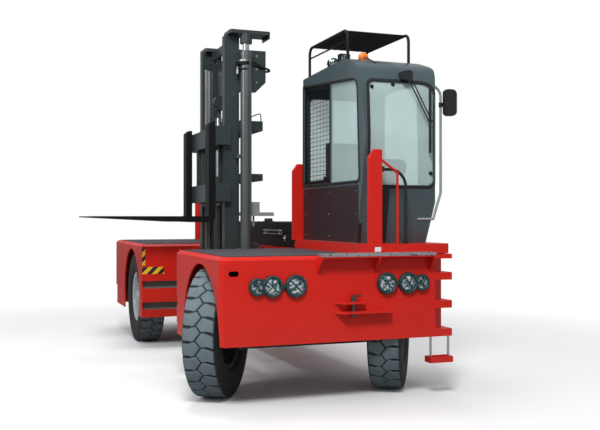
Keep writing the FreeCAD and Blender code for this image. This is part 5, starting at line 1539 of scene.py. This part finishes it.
# %% Bolts
carriage_low, carriage_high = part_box("fork_carriage")
plates = []
for z in (carriage_low.z + 0.04, carriage_low.z + 0.16, carriage_high.z - 0.16, carriage_high.z - 0.04):
    for y in (carriage_low.y + 0.05, carriage_low.y + 0.13, carriage_high.y - 0.13, carriage_high.y - 0.05):
        spot = landing("fork_carriage", (carriage_low.x - 0.2, y, z), (1, 0, 0))
        if spot is not None and spot.x < carriage_low.x + 0.08:
            plates.append(spot)
bolts("carriage_bolts", plates, (-1, 0, 0), 0.011, "carriage")

gusset = []
for depth in (0.06, 0.20, 0.34):
    start = (ties_high.x - 0.10, ties_low.y - 0.2, ties_high.z - depth)
    spot = landing("mast_cross_members", start, (0, 1, 0))
    if spot is not None and spot.y < ties_low.y + 0.02:
        gusset.append(spot)
bolts("gusset_bolts", gusset, (0, -1, 0), 0.010, "mast")

deck_edge = [(right_x + 0.022 + 0.3 * i, y, deck_z - 0.0005) for i in range(4)
             for y in (well_front_y - 0.014, well_rear_y + 0.014)]
bolts("deck_bolts", deck_edge, (0, 0, 1), 0.006)

# %% [markdown]
# ## Studio floor
# The truck stands on a pale floor that takes its shadow. Further out the floor fades into the backdrop:
# there it glows, but only for the camera, so that it throws no light on the truck. For the same reason
# the floor is darker to every ray that doesn't come from the camera.

# %% Floor
FADE_START, FADE_END = 3.6, 6.5      # metres from the truck's middle


def plain_stage():
    make = Finish("studio_floor")
    make.shader.inputs["Roughness"].default_value = 0.9
    make.shader.inputs["Specular IOR Level"].default_value = 0.1
    across, along = make.axis("X"), make.axis("Y")
    away = make.maths("SQRT", make.maths("ADD", make.maths("MULTIPLY", across, across),
                                         make.maths("MULTIPLY", along, along)))
    far = make.remap(away, FADE_START, FADE_END, 0.0, 1.0)
    path = make.add("ShaderNodeLightPath")
    seen = make.maths("MULTIPLY", far, path.outputs["Is Camera Ray"])
    make.feed(make.blend(path.outputs["Is Camera Ray"], (0.36, 0.36, 0.36, 1.0), (0.93, 0.93, 0.93, 1.0)),
              make.shader.inputs["Base Color"])
    pale = make.add("ShaderNodeEmission")
    pale.inputs["Strength"].default_value = 1.0
    mix = make.add("ShaderNodeMixShader")
    make.feed(seen, mix.inputs[0])
    make.feed(make.shader.outputs[0], mix.inputs[1])
    make.feed(pale.outputs[0], mix.inputs[2])
    make.feed(mix.outputs[0], make.tree.nodes["Material Output"].inputs["Surface"])
    bm = bmesh.new()
    bmesh.ops.create_grid(bm, x_segments=2, y_segments=2, size=60)
    mesh = bpy.data.meshes.new("floor")
    bm.to_mesh(mesh)
    bm.free()
    mesh.materials.append(make.material)
    floor = bpy.data.objects.new("floor", mesh)
    bpy.context.collection.objects.link(floor)


plain_stage()
print("floor laid")

# %% [markdown]
# ## Soft light
# Broad lamps give soft shadows, as in a paint shop's studio. The key lamp stands high in front, the
# fill to the right, and a wide one hangs above. The world is a little blue to light the shadows,
# and white where the camera sees it.

# %% Lamps and world
def soft_lamp(name, place, aim, size, power):
    lamp = bpy.data.lights.new(name, "AREA")
    lamp.shape = "DISK"
    lamp.size = size
    lamp.energy = power
    obj = bpy.data.objects.new(name, lamp)
    obj.location = place
    obj.rotation_euler = (Vector(aim) - Vector(place)).to_track_quat("-Z", "Y").to_euler()
    bpy.context.collection.objects.link(obj)


def pale_world():
    world = bpy.data.worlds.new("studio")
    bpy.context.scene.world = world
    world.use_nodes = True
    tree = world.node_tree
    tree.nodes.clear()
    light, shown = tree.nodes.new("ShaderNodeBackground"), tree.nodes.new("ShaderNodeBackground")
    light.inputs["Color"].default_value = (0.93, 0.96, 1.0, 1.0)
    light.inputs["Strength"].default_value = 0.46
    shown.inputs["Color"].default_value = (1.0, 1.0, 1.0, 1.0)
    shown.inputs["Strength"].default_value = 1.0
    path = tree.nodes.new("ShaderNodeLightPath")
    mix, out = tree.nodes.new("ShaderNodeMixShader"), tree.nodes.new("ShaderNodeOutputWorld")
    tree.links.new(path.outputs["Is Camera Ray"], mix.inputs[0])
    tree.links.new(light.outputs[0], mix.inputs[1])
    tree.links.new(shown.outputs[0], mix.inputs[2])
    tree.links.new(mix.outputs[0], out.inputs[0])


pale_world()
soft_lamp("key", (-3.0, -9.0, 8.5), (0, -1, 1), 2.6, 760)
soft_lamp("fill", (-8.0, -3.0, 5.0), (0, 0, 1), 3.5, 170)
soft_lamp("top", (0.0, 1.0, 9.0), (0, 0, 0), 5.0, 320)
print("lamps: 3")

# %% [markdown]
# ## Camera
# The camera stands at a tall person's eye height in front of the right front corner, with a slightly
# long lens, which keeps the upright lines calm.

# %% Camera
eye = Vector((-2.481, -9.332, 1.571))
looking = Vector((0.3486, 0.9373, math.tan(math.radians(0.19))))
camera = bpy.data.cameras.new("eye")
camera.sensor_width = 36
camera.lens = 50.8
camera.clip_end = 200
camera_object = bpy.data.objects.new("eye", camera)
camera_object.location = eye
camera_object.rotation_euler = looking.to_track_quat("-Z", "Y").to_euler()
bpy.context.collection.objects.link(camera_object)
bpy.context.scene.camera = camera_object
bpy.context.scene.view_settings.view_transform = "Standard"
print("camera height", round(eye.z, 2), "m")
